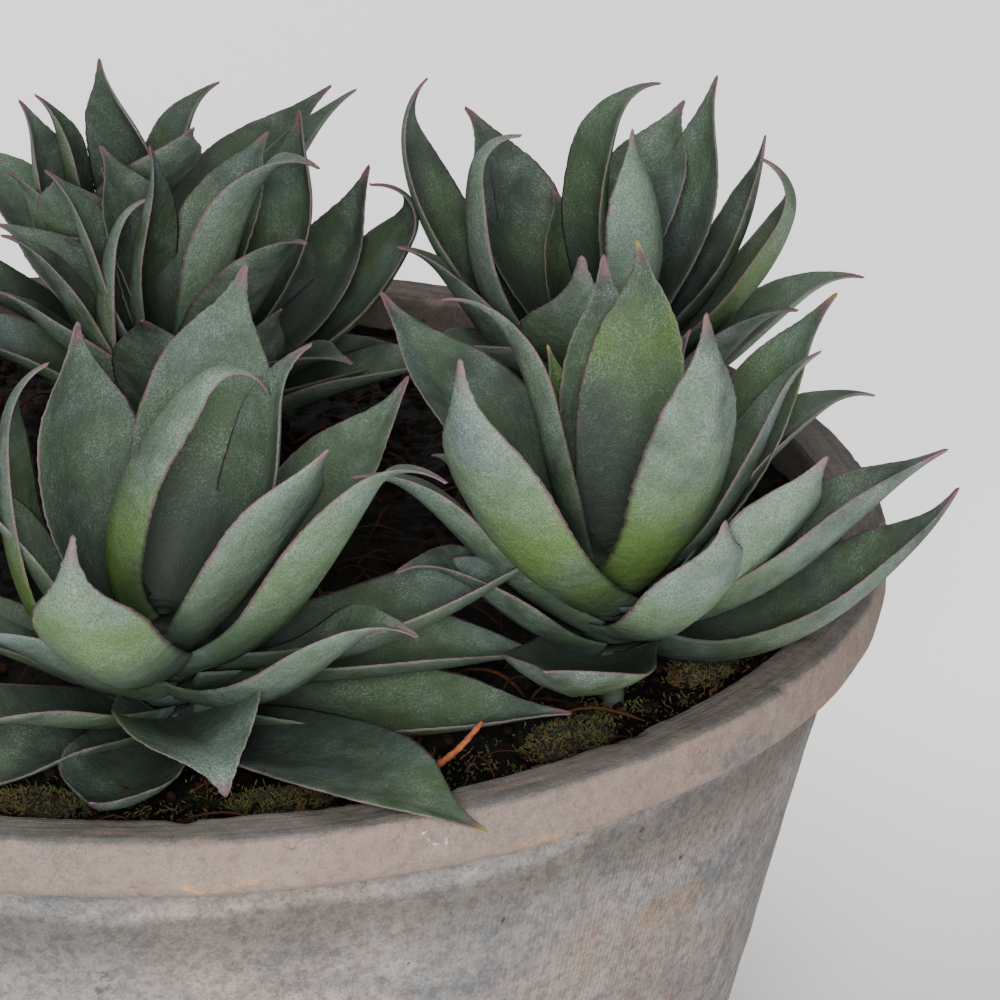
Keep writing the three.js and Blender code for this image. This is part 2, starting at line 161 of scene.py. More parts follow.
class Shader:
    """A procedural material that is put together from nodes."""

    def __init__(self, name: str) -> None:
        """Makes an empty material with one Principled BSDF."""
        self.material = bpy.data.materials.new(name)
        self.material.use_nodes = True
        self.tree = self.material.node_tree
        self.tree.nodes.clear()
        self.surface = self.tree.nodes.new("ShaderNodeBsdfPrincipled")
        output = self.tree.nodes.new("ShaderNodeOutputMaterial")
        self.tree.links.new(self.surface.outputs[0], output.inputs["Surface"])

    def _feed(self, socket: bpy.types.NodeSocket, value: Any) -> None:
        """Links or sets one input socket."""
        if isinstance(value, Field):
            self.tree.links.new(value.socket, socket)
        elif isinstance(value, tuple) and len(value) == 3 and socket.type == "RGBA":
            socket.default_value = (*value, 1.0)
        else:
            socket.default_value = value

    def node(self, kind: str, settings: dict[str, Any], sockets: dict[Any, Any], output: Any = 0) -> Field:
        """Adds one node.

        Args:
            kind: The node's type.
            settings: Its properties, set first. "stops" holds a ramp's places and colours.
            sockets: Values or links of its inputs, by name or number.
            output: The output that is used, by name or number.

        Returns:
            That output as a field.
        """
        made = self.tree.nodes.new(kind)
        for key, value in settings.items():
            if key == "stops":
                ramp = made.color_ramp
                while len(ramp.elements) < len(value):
                    ramp.elements.new(0.5)
                for element, (place, colour) in zip(ramp.elements, value):
                    element.position = place
                    element.color = (*colour, 1.0)
            else:
                setattr(made, key, value)
        for key, value in sockets.items():
            self._feed(made.inputs[key], value)
        return Field(self, made.outputs[output])

    def places(self) -> Field:
        """Position on the piece in millimetres."""
        spot = self.node("ShaderNodeTexCoord", {}, {}, "Object")
        return self.node("ShaderNodeVectorMath", {"operation": "SCALE"}, {0: spot, "Scale": 1000.0})

    def part(self, vector: Field, axis: str) -> Field:
        """One coordinate of a vector."""
        return self.node("ShaderNodeSeparateXYZ", {}, {0: vector}, axis)

    def stretch(self, vector: Field, by: tuple[float, float, float]) -> Field:
        """A vector with each coordinate multiplied."""
        return self.node("ShaderNodeVectorMath", {"operation": "MULTIPLY"}, {0: vector, 1: by})

    def mottle(self, vector: Field, size: float, detail: float = 3.0, rough: float = 0.55) -> Field:
        """Soft random patches.

        Args:
            vector: Position in millimetres.
            size: Width of a patch in millimetres.
            detail: Number of finer layers.
            rough: Strength of the finer layers.

        Returns:
            A value around 0.5.
        """
        sockets = {"Vector": vector, "Scale": 1 / size, "Detail": detail, "Roughness": rough}
        return self.node("ShaderNodeTexNoise", {}, sockets, 0)

    def grains(self, vector: Field, size: float, output: str = "Distance") -> Field:
        """Distance to the nearest of many scattered grains, or that grain's random colour."""
        return self.node("ShaderNodeTexVoronoi", {}, {"Vector": vector, "Scale": 1 / size}, output)

    def value(self, name: str) -> Field:
        """A number that the mesh carries at each of its points."""
        return self.node("ShaderNodeAttribute", {"attribute_name": name}, {}, "Fac")

    def blend(self, share: Any, first: Any, second: Any, mode: str = "MIX") -> Field:
        """Mixes two colours.

        Args:
            share: How much of the second colour, from 0 to 1.
            first: Colour or field.
            second: Colour or field.
            mode: The Mix node's way of blending.

        Returns:
            The mixed colour.
        """
        made = self.tree.nodes.new("ShaderNodeMix")
        made.data_type = "RGBA"
        made.blend_type = mode
        self._feed(made.inputs[0], share)
        self._feed(made.inputs[6], first)
        self._feed(made.inputs[7], second)
        return Field(self, made.outputs[2])

    def bumped(self, height: Field, depth: float, under: Field | None = None) -> Field:
        """Turns a height from 0 to 1 into a bumped normal.

        Args:
            height: The height field.
            depth: What a height of 1 stands for, in metres.
            under: A coarser bump below this one.

        Returns:
            The normal.
        """
        sockets: dict[str, Any] = {"Height": height, "Distance": depth, "Strength": 1.0}
        if under is not None:
            sockets["Normal"] = under
        return self.node("ShaderNodeBump", {}, sockets, 0)

    def close(
        self, colour: Any, roughness: Any, normal: Field | None = None, light: Any = None, **steady: float
    ) -> bpy.types.Material:
        """Feeds the surface.

        Args:
            colour: Base colour.
            roughness: Roughness.
            normal: Bumped normal.
            light: Colour of the surface's own glow.
            steady: Other sockets that are the same all over, by name with _ for a space.

        Returns:
            The finished material.
        """
        self._feed(self.surface.inputs["Base Color"], colour)
        self._feed(self.surface.inputs["Roughness"], roughness)
        if normal is not None:
            self._feed(self.surface.inputs["Normal"], normal)
        if light is not None:
            self._feed(self.surface.inputs["Emission Color"], light)
        for name, number in steady.items():
            self.surface.inputs[name.replace("_", " ")].default_value = number
        return self.material


# Finishes


@dataclass(frozen=True)
class LeafSkin:
    """Matt moulded leaf with a powdery bloom, granular speckle and purple edges; inner faces and roots get
    painted shade, and each leaf its own painted light or shade.
    """

    deep: Colour = paint("2b372c")
    mid: Colour = paint("4c614a")
    bloom: Colour = paint("7b8a80")
    slate: Colour = paint("66757a")
    flush: Colour = paint("5b7a2c")
    edge: Colour = paint("7a4b5d")
    dry: Colour = paint("8a8444")
    # Colour of the painted shade towards the roots
    root: Colour = paint("1b241d")
    speck: Colour = paint("b4c4b6")
    speck_size: float = 0.5

    def material(self) -> bpy.types.Material:
        """Builds the material.

        Returns:
            The leaf material, which reads the numbers that the leaf meshes carry.
        """
        make = Shader("leaf_skin")
        spot = make.places()
        along = make.value("along")
        across = abs(make.value("across"))
        under = make.value("under")
        # tone holds each leaf's painted light or shade together with its own random tone
        tone = make.value("tone")
        flush = make.value("flush")
        cloud = make.mottle(spot, 26.0, 2.0)
        drift = make.mottle(spot, 9.0, 3.0)
        base = make.blend((cloud + 0.5 * tone).rise(0.25, 0.75), self.deep, self.mid)
        powder = ((drift - 0.5) * 1.1 + 0.4 + 0.2 * under + 0.25 * tone) * along.rise(0.02, 0.5)
        base = make.blend(powder.rise(0.1, 1.0) * 0.75, base, self.bloom)
        base = make.blend(make.mottle(spot, 19.0, 2.0).rise(0.5, 0.7) * 0.5, base, self.slate)
        patch = flush * cloud.rise(0.28, 0.6)
        base = make.blend(patch.least(0.8), base, self.flush)
        # Painted shade: the inner (upper) faces are painted darker, as if in the shade of the leaves above
        base = make.blend((1 - under) * 0.34, base, self.deep)
        # Painted shade towards each root, where the leaves crowd, strongest on inner faces; the root itself
        # is also a little darker
        base = make.blend(along.rise(0.85, 0.08) * (0.96 - 0.66 * under), base, self.root)
        fine = make.mottle(spot, self.speck_size, 1.0, 0.6)
        speck = fine.rise(0.5, 0.66) * (0.4 + 0.6 * drift.rise(0.3, 0.7))
        base = make.blend(fine.rise(0.52, 0.3) * 0.4, base, self.deep)
        base = make.blend(speck * powder.rise(0.0, 0.8) * (0.1 + 0.14 * along), base, self.speck)
        ragged = (make.mottle(spot, 2.2, 2.0) - 0.5) * 0.16
        rim = (across + ragged * 0.7).rise(0.93, 1.0)
        tip = (along + ragged * 0.5).rise(0.9, 0.99)
        worn = drift.rise(0.4, 0.62) * fine.rise(0.3, 0.55)
        base = make.blend((rim * along.rise(0.2, 0.6) * (0.45 + 0.5 * worn)).least(0.85), base, self.edge)
        base = make.blend((tip * (0.4 + 0.5 * cloud)).least(0.8), base, self.edge)
        base = make.blend(along.rise(0.955, 0.99) * flush.rise(0.0, 0.3) * 0.8, base, self.dry)
        rough = 0.62 + 0.16 * drift - 0.1 * speck
        wave = make.bumped(make.mottle(spot, 3.2, 1.0) + fine * 0.45, 0.0004)
        return make.close(base, rough, wave, Specular_IOR_Level=0.4)


@dataclass(frozen=True)
class Stain:
    """A stain on the pot at an angle in degrees and a height, with its size in millimetres."""

    angle: float
    height: float
    wide: float
    high: float
    colour: Colour
    strength: float


@dataclass(frozen=True)
class AgedClay:
    """Weathered clay: grey bloom over pinkish beige, ochre stains, smudges, ribs, cracks and pits, with
    painted shade below the band and on the inner wall.
    """

    grey: Colour = paint("8f8985")
    beige: Colour = paint("998a80")
    tan: Colour = paint("877266")
    rim: Colour = paint("635e58")
    ochre: Colour = paint("bd8f58")
    rust: Colour = paint("96705a")
    smudge: Colour = paint("666b6f")
    # Soot and dark grit, and also the colour of the painted shade and shadow below the band
    soot_and_shade: Colour = paint("4e5051")
    pit: Colour = paint("332f2d")
    chalk: Colour = paint("d2cec8")
    # Colour of the painted shade on the inner wall
    inner: Colour = paint("5d5650")
    ribs: int = 736
    stains: tuple[Stain, ...] = (
        Stain(-43, 190, 17, 4.5, paint("565c62"), 0.7),
        Stain(-85, 189, 5, 2.4, paint("c1975e"), 0.9),
        Stain(-88, 187, 6, 1.4, paint("c1975e"), 0.8),
        Stain(-118, 186, 24, 2.4, paint("b98f64"), 0.5),
        Stain(-62, 186, 20, 2.4, paint("b98f64"), 0.5),
        Stain(-44, 141, 26, 6.0, paint("a87c52"), 0.5),
        Stain(-72, 195, 1.5, 1.0, paint("dcdad6"), 0.9),
        Stain(-70.6, 193.2, 1.0, 1.6, paint("dcdad6"), 0.7),
        Stain(-71.6, 191, 0.8, 0.8, paint("dcdad6"), 0.7),
        Stain(-98, 165, 26, 12, paint("6d7072"), 0.3),
        Stain(-64, 150, 40, 16, paint("666b6f"), 0.5),
        Stain(-30, 160, 18, 30, paint("8a7264"), 0.4),
    )

    def torn(self, make: Shader, spot: Field, size: float, reach: float) -> Field:
        """Position pushed about, so that pits, cracks and stains get ragged outlines."""
        push = make.node("ShaderNodeTexNoise", {}, {"Vector": spot, "Scale": 1 / size, "Detail": 1.0}, 1)
        centred = make.node("ShaderNodeVectorMath", {"operation": "SUBTRACT"}, {0: push, 1: (0.5, 0.5, 0.5)})
        moved = make.node("ShaderNodeVectorMath", {"operation": "SCALE"}, {0: centred, "Scale": reach})
        return make.node("ShaderNodeVectorMath", {"operation": "ADD"}, {0: spot, 1: moved})

    def angle(self, make: Shader, spot: Field) -> Field:
        """Angle of a point round the pot, in radians."""
        return make.part(spot, "Y").bearing(make.part(spot, "X"))

    def stained(self, make: Shader, spot: Field, ragged: Field, base: Field) -> Field:
        """Adds the stains that sit in known places.

        Args:
            make: The shader.
            spot: Position in millimetres.
            ragged: The same position, pushed about.
            base: Colour below.

        Returns:
            The colour with the stains.
        """
        broken = make.mottle(spot, 2.6, 2.0, 0.7).rise(0.38, 0.6)
        turn = self.angle(make, ragged)
        height = make.part(ragged, "Z")
        for stain in self.stains:
            along = (turn - math.radians(stain.angle)) * (190.0 / stain.wide)
            up = (height - stain.height) / stain.high
            mask = (along * along + up * up).rise(1.0, 0.2) * (0.25 + 0.75 * broken)
            base = make.blend(mask * stain.strength, base, stain.colour)
        return base

    def cracks(self, make: Shader, spot: Field, ragged: Field) -> Field:
        """Short thin cracks, here and there."""
        edge = abs(make.mottle(make.stretch(ragged, (1.0, 1.0, 1.9)), 17.0, 1.0) - 0.5)
        here = make.mottle(spot, 15.0, 1.0).rise(0.6, 0.68)
        return edge.rise(0.008, 0.001) * here

    def material(self) -> bpy.types.Material:
        """Builds the material.

        Returns:
            The clay material. Heights on the pot decide where the band, body and rim top are.
        """
        make = Shader("aged_clay")
        spot = make.places()
        height = make.part(spot, "Z")
        angle = self.angle(make, spot)
        radius = (make.part(spot, "X") ** 2 + make.part(spot, "Y") ** 2) ** 0.5
        cloud = make.mottle(spot, 60.0, 2.0)
        patch = make.mottle(spot, 22.0, 3.0, 0.66)
        fine = make.mottle(spot, 3.0, 3.0, 0.72)
        grit = make.mottle(spot, 0.5, 1.0, 0.6)
        streak = make.mottle(make.stretch(spot, (1.0, 1.0, 0.3)), 14.0, 2.0)
        band = (height + (patch - 0.5) * 2.0).rise(183.4, 184.8)
        top = (height + (fine - 0.5) * 0.5).rise(199.0, 199.4) * radius.rise(175.0, 177.0)
        inside = radius.rise(178.2, 177.2) * height.rise(150.0, 170.0)
        base = make.blend(cloud.rise(0.36, 0.62), self.grey, self.beige)
        base = make.blend(patch.rise(0.5, 0.7) * 0.3, base, self.chalk)
        base = make.blend(band * 0.75, base, self.tan)
        low = (cloud * 0.5 + streak * 0.5).rise(0.52, 0.64) * height.rise(180.0, 140.0)
        base = make.blend(low * 0.4, base, self.rust)
        dark = make.mottle(make.stretch(spot, (1.0, 1.0, 1.5)), 38.0, 5.0, 0.76)
        base = make.blend(dark.rise(0.49, 0.64) * (1 - band * 0.75) * 0.62, base, self.smudge)
        base = make.blend(dark.rise(0.6, 0.7) * (1 - band * 0.9) * 0.4, base, self.soot_and_shade)
        ragged = self.torn(make, spot, 5.0, 11.0)
        base = self.stained(make, spot, ragged, base)
        polar = make.node("ShaderNodeCombineXYZ", {}, {"X": radius, "Y": angle * 12.0, "Z": height * 0.3})
        grooves = make.mottle(polar, 1.6, 2.0, 0.6)
        base = make.blend(top * 0.85, base, self.rim)
        base = make.blend(top * grooves.rise(0.5, 0.7) * 0.55, base, self.tan)
        base = make.blend(top * grooves.rise(0.48, 0.32) * 0.55, base, self.soot_and_shade)
        lip = (height + (patch - 0.5) * 2.4).rise(198.2, 199.1) * radius.rise(186.0, 188.0)
        lip = lip * patch.rise(0.36, 0.56)
        base = make.blend(lip * 0.5, base, self.soot_and_shade)
        # Painted shade on the inner wall of the pot above the mix
        base = make.blend(inside * 0.8, base, self.inner)
        base = make.blend(fine.rise(0.4, 0.66) * (1 - band * 0.5) * 0.5, base, paint("8c837e"), "MULTIPLY")
        base = make.blend(grit.rise(0.5, 0.75) * 0.08, base, self.chalk)
        base = make.blend(grit.rise(0.5, 0.28) * (0.2 + 0.34 * dark.rise(0.42, 0.6)), base, self.soot_and_shade)
        sand = make.mottle(spot, 1.3, 2.0, 0.7)
        base = make.blend(sand.rise(0.52, 0.36) * (1 - band * 0.6) * 0.42, base, self.soot_and_shade)
        # Painted shade: the body is painted darker just below the band, where the band overhangs it
        under = height + (fine - 0.5) * 2.6
        base = make.blend(under.rise(173.0, 181.0) * under.rise(184.6, 183.4) * 0.3, base, self.soot_and_shade)
        # Painted shadow: a dark line along the band's lower edge, broken up by fine noise
        band_edge_shadow = under.rise(181.0, 183.0) * under.rise(184.9, 183.6)
        base = make.blend(band_edge_shadow * (0.25 + 0.6 * fine.rise(0.4, 0.6)), base, self.soot_and_shade)
        pocked = make.mottle(spot, 24.0, 1.0).rise(0.5, 0.6)
        holes = make.grains(self.torn(make, spot, 2.0, 2.4), 8.0).rise(0.13, 0.06) * pocked
        small = sand.rise(0.31, 0.27) * cloud.rise(0.45, 0.55)
        crack = self.cracks(make, spot, ragged) * (1 - top)
        base = make.blend(holes.most(small * 0.7).most(crack * 0.7) * 0.85, base, self.pit)
        rib = (angle * float(self.ribs) + (patch - 0.5) * 5.0).sine() * 0.5 + 0.5
        front = (angle + 0.93).rise(-0.6, -0.1) * height.rise(177.0, 160.0)
        combed = front * cloud.rise(0.4, 0.55)
        base = make.blend((1 - rib) * combed * 0.2, base, self.smudge)
        worn = fine * 0.7 + rib * front * 0.15 + grooves * top * 0.8 + grit * 0.3
        relief = make.bumped(worn + make.mottle(spot, 16.0, 1.0) * 2.2, 0.00045)
        return make.close(base, 0.86 + 0.12 * (fine - 0.5), relief, Specular_IOR_Level=0.25)


@dataclass(frozen=True)
class GrowingMix:
    """Damp, near black peat with brown crumbs and a trace of moss."""

    peat: Colour = paint("080605")
    crumb: Colour = paint("19110c")
    fibre: Colour = paint("4a2e1b")
    green: Colour = paint("262b0e")

    def material(self) -> bpy.types.Material:
        """Builds the material.

        Returns:
            The mix's material, which reads how bare or fibrous each point is.
        """
        make = Shader("growing_mix")
        spot = make.places()
        tone = make.value("tone")
        kind = make.value("kind")
        lump = make.mottle(spot, 5.0, 5.0, 0.65)
        base = make.blend(lump.rise(0.4, 0.75), self.peat, self.crumb)
        base = make.blend(tone * 0.5, base, self.crumb)
        base = make.blend(make.mottle(spot, 18.0, 2.0).rise(0.6, 0.72) * 0.5, base, self.green)
        base = make.blend(kind * (0.45 + 0.5 * tone), base, self.fibre)
        relief = make.bumped(lump + make.mottle(spot, 1.2, 2.0) * 0.4, 0.0016)
        return make.close(base, 0.8 + 0.25 * (lump - 0.5), relief, Specular_IOR_Level=0.12)


@dataclass(frozen=True)
class StemSkin:
    """Moulded stem in a duller green, painted darker at its head for the shade inside the rosette."""

    green: Colour = paint("3f4e42")
    shade: Colour = paint("2b372e")
    # Colour of the painted shade at the stem's head
    head: Colour = paint("161d17")

    def material(self) -> bpy.types.Material:
        """Builds the stem's material."""
        make = Shader("stem_skin")
        spot = make.places()
        drift = make.mottle(spot, 4.0, 3.0)
        base = make.blend(drift.rise(0.35, 0.65), self.shade, self.green)
        # Painted shade: the head of the stem, among the leaf roots, is painted dark
        base = make.blend(make.value("along").rise(0.8, 0.95), base, self.head)
        return make.close(base, 0.6 + 0.2 * drift, make.bumped(make.mottle(spot, 0.9, 2.0), 0.0002))


@dataclass(frozen=True)
class MossSkin:
    """Green and ochre moss."""

    dark: Colour = paint("0c0c07")
    green: Colour = paint("3a4d1b")
    ochre: Colour = paint("5c4a25")
    brown: Colour = paint("35241a")

    def material(self) -> bpy.types.Material:
        """Builds the moss's material, lighter towards the ends of its shoots."""
        make = Shader("moss_skin")
        spot = make.places()
        tone = make.value("tone")
        along = make.value("along")
        drift = make.mottle(spot, 11.0, 3.0)
        tint = make.blend((tone * 0.5 + drift * 0.9).rise(0.5, 0.9), self.green, self.ochre)
        tint = make.blend(make.mottle(spot, 5.0, 2.0).rise(0.5, 0.62) * 0.8, tint, self.brown)
        base = make.blend(along.rise(0.0, 0.8), self.dark, tint)
        return make.close(base, 0.85 + 0.1 * tone, make.bumped(make.mottle(spot, 0.7, 2.0), 0.0003))


@dataclass(frozen=True)
class DryTwig:
    """Dry wood, from amber to dark brown."""

    name: str
    light: Colour
    dark: Colour

    def material(self) -> bpy.types.Material:
        """Builds the twig's material with grain along it."""
        make = Shader(self.name)
        spot = make.places()
        along = make.value("along")
        grain = make.mottle(spot, 0.9, 4.0, 0.7)
        rings = make.mottle(spot, 5.0, 2.0)
        base = make.blend((grain * 0.6 + rings * 0.5).rise(0.35, 0.75), self.dark, self.light)
        base = make.blend(along.rise(0.9, 1.0) * 0.6, base, self.dark)
        return make.close(base, 0.6 + 0.3 * grain, make.bumped(grain, 0.0003))


@dataclass(frozen=True)
class PaleFloor:
    """Plain pale studio floor."""

    colour: Colour = (0.9, 0.9, 0.9)
    glow: float = 0.85
    front: Colour = (0.14, 0.14, 0.14)
    back: Colour = (1.0, 1.0, 1.0)

    def material(self) -> bpy.types.Material:
        """Builds the floor's material."""
        make = Shader("pale_floor")
        spot = make.places()
        light = make.blend(make.part(spot, "Y").rise(50.0, 350.0), self.front, self.back)
        return make.close(self.colour, 0.82, None, light, Emission_Strength=self.glow)


# Mesh tools


@dataclass
class Skin:
    """Points, faces and the numbers carried at each point, gathered before a mesh is made."""

    points: list[Array] = field(default_factory=list)
    faces: Faces = field(default_factory=list)
    values: dict[str, list[Array]] = field(default_factory=dict)
    count: int = 0

    def add(self, points: Array, faces: Sequence[tuple[int, ...]], **values: Any) -> None:
        """Adds a closed form.

        Args:
            points: Positions in millimetres.
            faces: Corner numbers that start at 0 for this form.
            values: A number or an array of numbers for each name.
        """
        self.points.append(points)
        self.faces.extend(tuple(corner + self.count for corner in face) for face in faces)
        for name, given in values.items():
            spread = np.broadcast_to(np.asarray(given, dtype=float), (len(points),))
            self.values.setdefault(name, []).append(spread)
        self.count += len(points)

    def piece(self, name: str, material: bpy.types.Material, nodes: Sequence[str]) -> None:
        """Makes the object that stands for CAD nodes and rides on the body.

        Args:
            name: The object's name.
            material: Its material.
            nodes: CAD nodes that it replaces.
        """
        mesh = bpy.data.meshes.new(name)
        mesh.from_pydata((np.concatenate(self.points) * MM).tolist(), [], self.faces)
        mesh.validate()
        mesh.polygons.foreach_set("use_smooth", [True] * len(mesh.polygons))
        for key, parts in self.values.items():
            layer = mesh.attributes.new(key, "FLOAT", "POINT")
            layer.data.foreach_set("value", np.concatenate(parts).astype(np.float32))
        mesh.materials.append(material)
        made = bpy.data.objects.new(name, mesh)
        bpy.context.scene.collection.objects.link(made)
        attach(made, BODY)
        if nodes:
            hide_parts(*nodes)
        LOG.info("%s: %d faces", name, len(mesh.polygons))


def tube_faces(rows: int, sides: int, first_cap: int, last_cap: int) -> Faces:
    """Faces of rings that are joined in a row and closed by a point at each end.

    Args:
        rows: Number of rings.
        sides: Points of a ring.
        first_cap: Number of the point that closes the first ring.
        last_cap: Number of the point that closes the last ring.

    Returns:
        The faces, which look outwards when a ring runs anticlockwise about the way it goes.
    """
    faces: Faces = []
    for row in range(rows - 1):
        for side in range(sides):
            after = (side + 1) % sides
            here, above = row * sides, (row + 1) * sides
            faces.append((here + side, here + after, above + after, above + side))
    end = (rows - 1) * sides
    for side in range(sides):
        after = (side + 1) % sides
        faces.append((first_cap, after, side))
        faces.append((last_cap, end + side, end + after))
    return faces


def tube(path: Array, radii: Array, sides: int) -> tuple[Array, Faces, Array]:
    """A round rod along a path.

    Args:
        path: Points of the path in millimetres.
        radii: Radius at each point.
        sides: Number of sides.

    Returns:
        Points, faces and how far along the rod each point is, from 0 to 1.
    """
    rows = len(path)
    run = np.gradient(path, axis=0)
    run /= np.linalg.norm(run, axis=1)[:, None]
    helper = np.array([0.0, 0.0, 1.0]) if abs(run[0][2]) < 0.8 else np.array([1.0, 0.0, 0.0])
    side = np.cross(run, helper)
    side /= np.linalg.norm(side, axis=1)[:, None]
    up = np.cross(side, run)
    turns = np.linspace(0, 2 * math.pi, sides, endpoint=False)
    ring = np.cos(turns)[None, :, None] * side[:, None, :] - np.sin(turns)[None, :, None] * up[:, None, :]
    points = path[:, None, :] + ring * radii[:, None, None]
    first = path[0] - run[0] * radii[0] * 0.4
    last = path[-1] + run[-1] * radii[-1] * 0.4
    stacked = np.concatenate([points.reshape(-1, 3), [first, last]])
    share = np.concatenate([np.repeat(np.linspace(0, 1, rows), sides), [0.0, 1.0]])
    faces = tube_faces(rows, sides, rows * sides, rows * sides + 1)
    return stacked, [face[::-1] for face in faces], share


def turned(
    profile: Array, sides: int, shape: Callable[[Array, Array], Array] | None = None
) -> tuple[Array, Faces]:
    """A form of revolution about Z whose profile starts and ends on the axis.

    Args:
        profile: Rows of radius and height from the lower centre, outwards and up to the upper centre.
        sides: Number of sides.
        shape: Moves the points, given points and angles.

    Returns:
        Points and faces.
    """
    inner = profile[1:-1]
    turns = np.linspace(0, 2 * math.pi, sides, endpoint=False)
    points = np.zeros((len(inner), sides, 3))
    points[:, :, 0] = inner[:, 0, None] * np.cos(turns)
    points[:, :, 1] = inner[:, 0, None] * np.sin(turns)
    points[:, :, 2] = inner[:, 1, None]
    flat = points.reshape(-1, 3)
    if shape is not None:
        flat = shape(flat, np.tile(turns, len(inner)))
    ends = np.array([[0.0, 0.0, profile[0][1]], [0.0, 0.0, profile[-1][1]]])
    rows = len(inner)
    return np.concatenate([flat, ends]), tube_faces(rows, sides, rows * sides, rows * sides + 1)


def eased(stations: Sequence[float], levels: Sequence[float], at: Array) -> Array:
    """A smooth curve through given levels that doesn't overshoot them.

    Args:
        stations: Places, rising.
        levels: Level at each place.
        at: Places to read.

    Returns:
        The level at each place read.
    """
    x, y = np.array(stations), np.array(levels)
    step = np.diff(x)
    slope = np.diff(y) / step
    tangent = np.zeros_like(y)
    tangent[0], tangent[-1] = slope[0], slope[-1]
    same = slope[:-1] * slope[1:] > 0
    tangent[1:-1][same] = 2 * slope[:-1][same] * slope[1:][same] / (slope[:-1][same] + slope[1:][same])
    cell = np.clip(np.searchsorted(x, at, side="right") - 1, 0, len(step) - 1)
    t = (at - x[cell]) / step[cell]
    rest = 1 - t
    level = (1 + 2 * t) * rest**2 * y[cell] + t**2 * (3 - 2 * t) * y[cell + 1]
    return level + step[cell] * (t * rest**2 * tangent[cell] - t**2 * rest * tangent[cell + 1])


def rough(points: Array, size: float, seed: float) -> Array:
    """Random heights from -1 to 1 that change over about size millimetres."""
    shift = Vector((seed, seed * 1.7, seed * 0.3))
    return np.array([noise.noise(Vector(point) / size + shift) for point in points])


def heading(azimuth: float, rise: float) -> Array:
    """Unit vector from an azimuth and a rise in degrees."""
    level = math.cos(math.radians(rise))
    turn = math.radians(azimuth)
    return np.array([math.cos(turn) * level, math.sin(turn) * level, math.sin(math.radians(rise))])


# Planting


@dataclass(frozen=True)
class Leaf:
    """One leaf of a whorl, in degrees and millimetres.

    The azimuth and rise aim the straight line from the stem's axis to the tip, which is reach away.
    The midrib rises by start at its root and by end at its tip, which turn swings sideways. The
    edges curl up by cup. flush is how yellow green it is, and shade is the painted light or shade
    of the whole leaf: how much lighter or darker it is painted for the light it sits in. The last
    part bends back by hook and sideways by sway, and roll twists the blade. flush_at is the share
    of the leaf's length where it is greenest, and fold is how steeply the halves meet at the midrib.
    """

    azimuth: float
    rise: float
    reach: float
    start: float
    end: float
    width: float = 29.0
    turn: float = 0.0
    cup: float = 50.0
    flush: float = 0.3
    shade: float = 0.0
    hook: float = 14.0
    sway: float = 0.0
    roll: float = 0.0
    flush_at: float = 0.5
    fold: float = 0.13


def ring(count: int, first: float, rise: float, reach: float, start: float, end: float) -> list[Leaf]:
    """Leaves spaced evenly round the stem, each second one a little steeper and shorter.

    Args:
        count: Number of leaves.
        first: Azimuth of the first one.
        rise: Rise of the straight line to a tip.
        reach: Its length.
        start: Rise of the midrib at its root.
        end: Rise of the midrib at its tip.

    Returns:
        The leaves.
    """
    steps = [1 if place % 2 == 0 else -1 for place in range(count)]
    return [
        Leaf(first + place * 360 / count, rise + 4 * step, reach - 4 * step, start + 4 * step, end)
        for place, step in enumerate(steps)
    ]


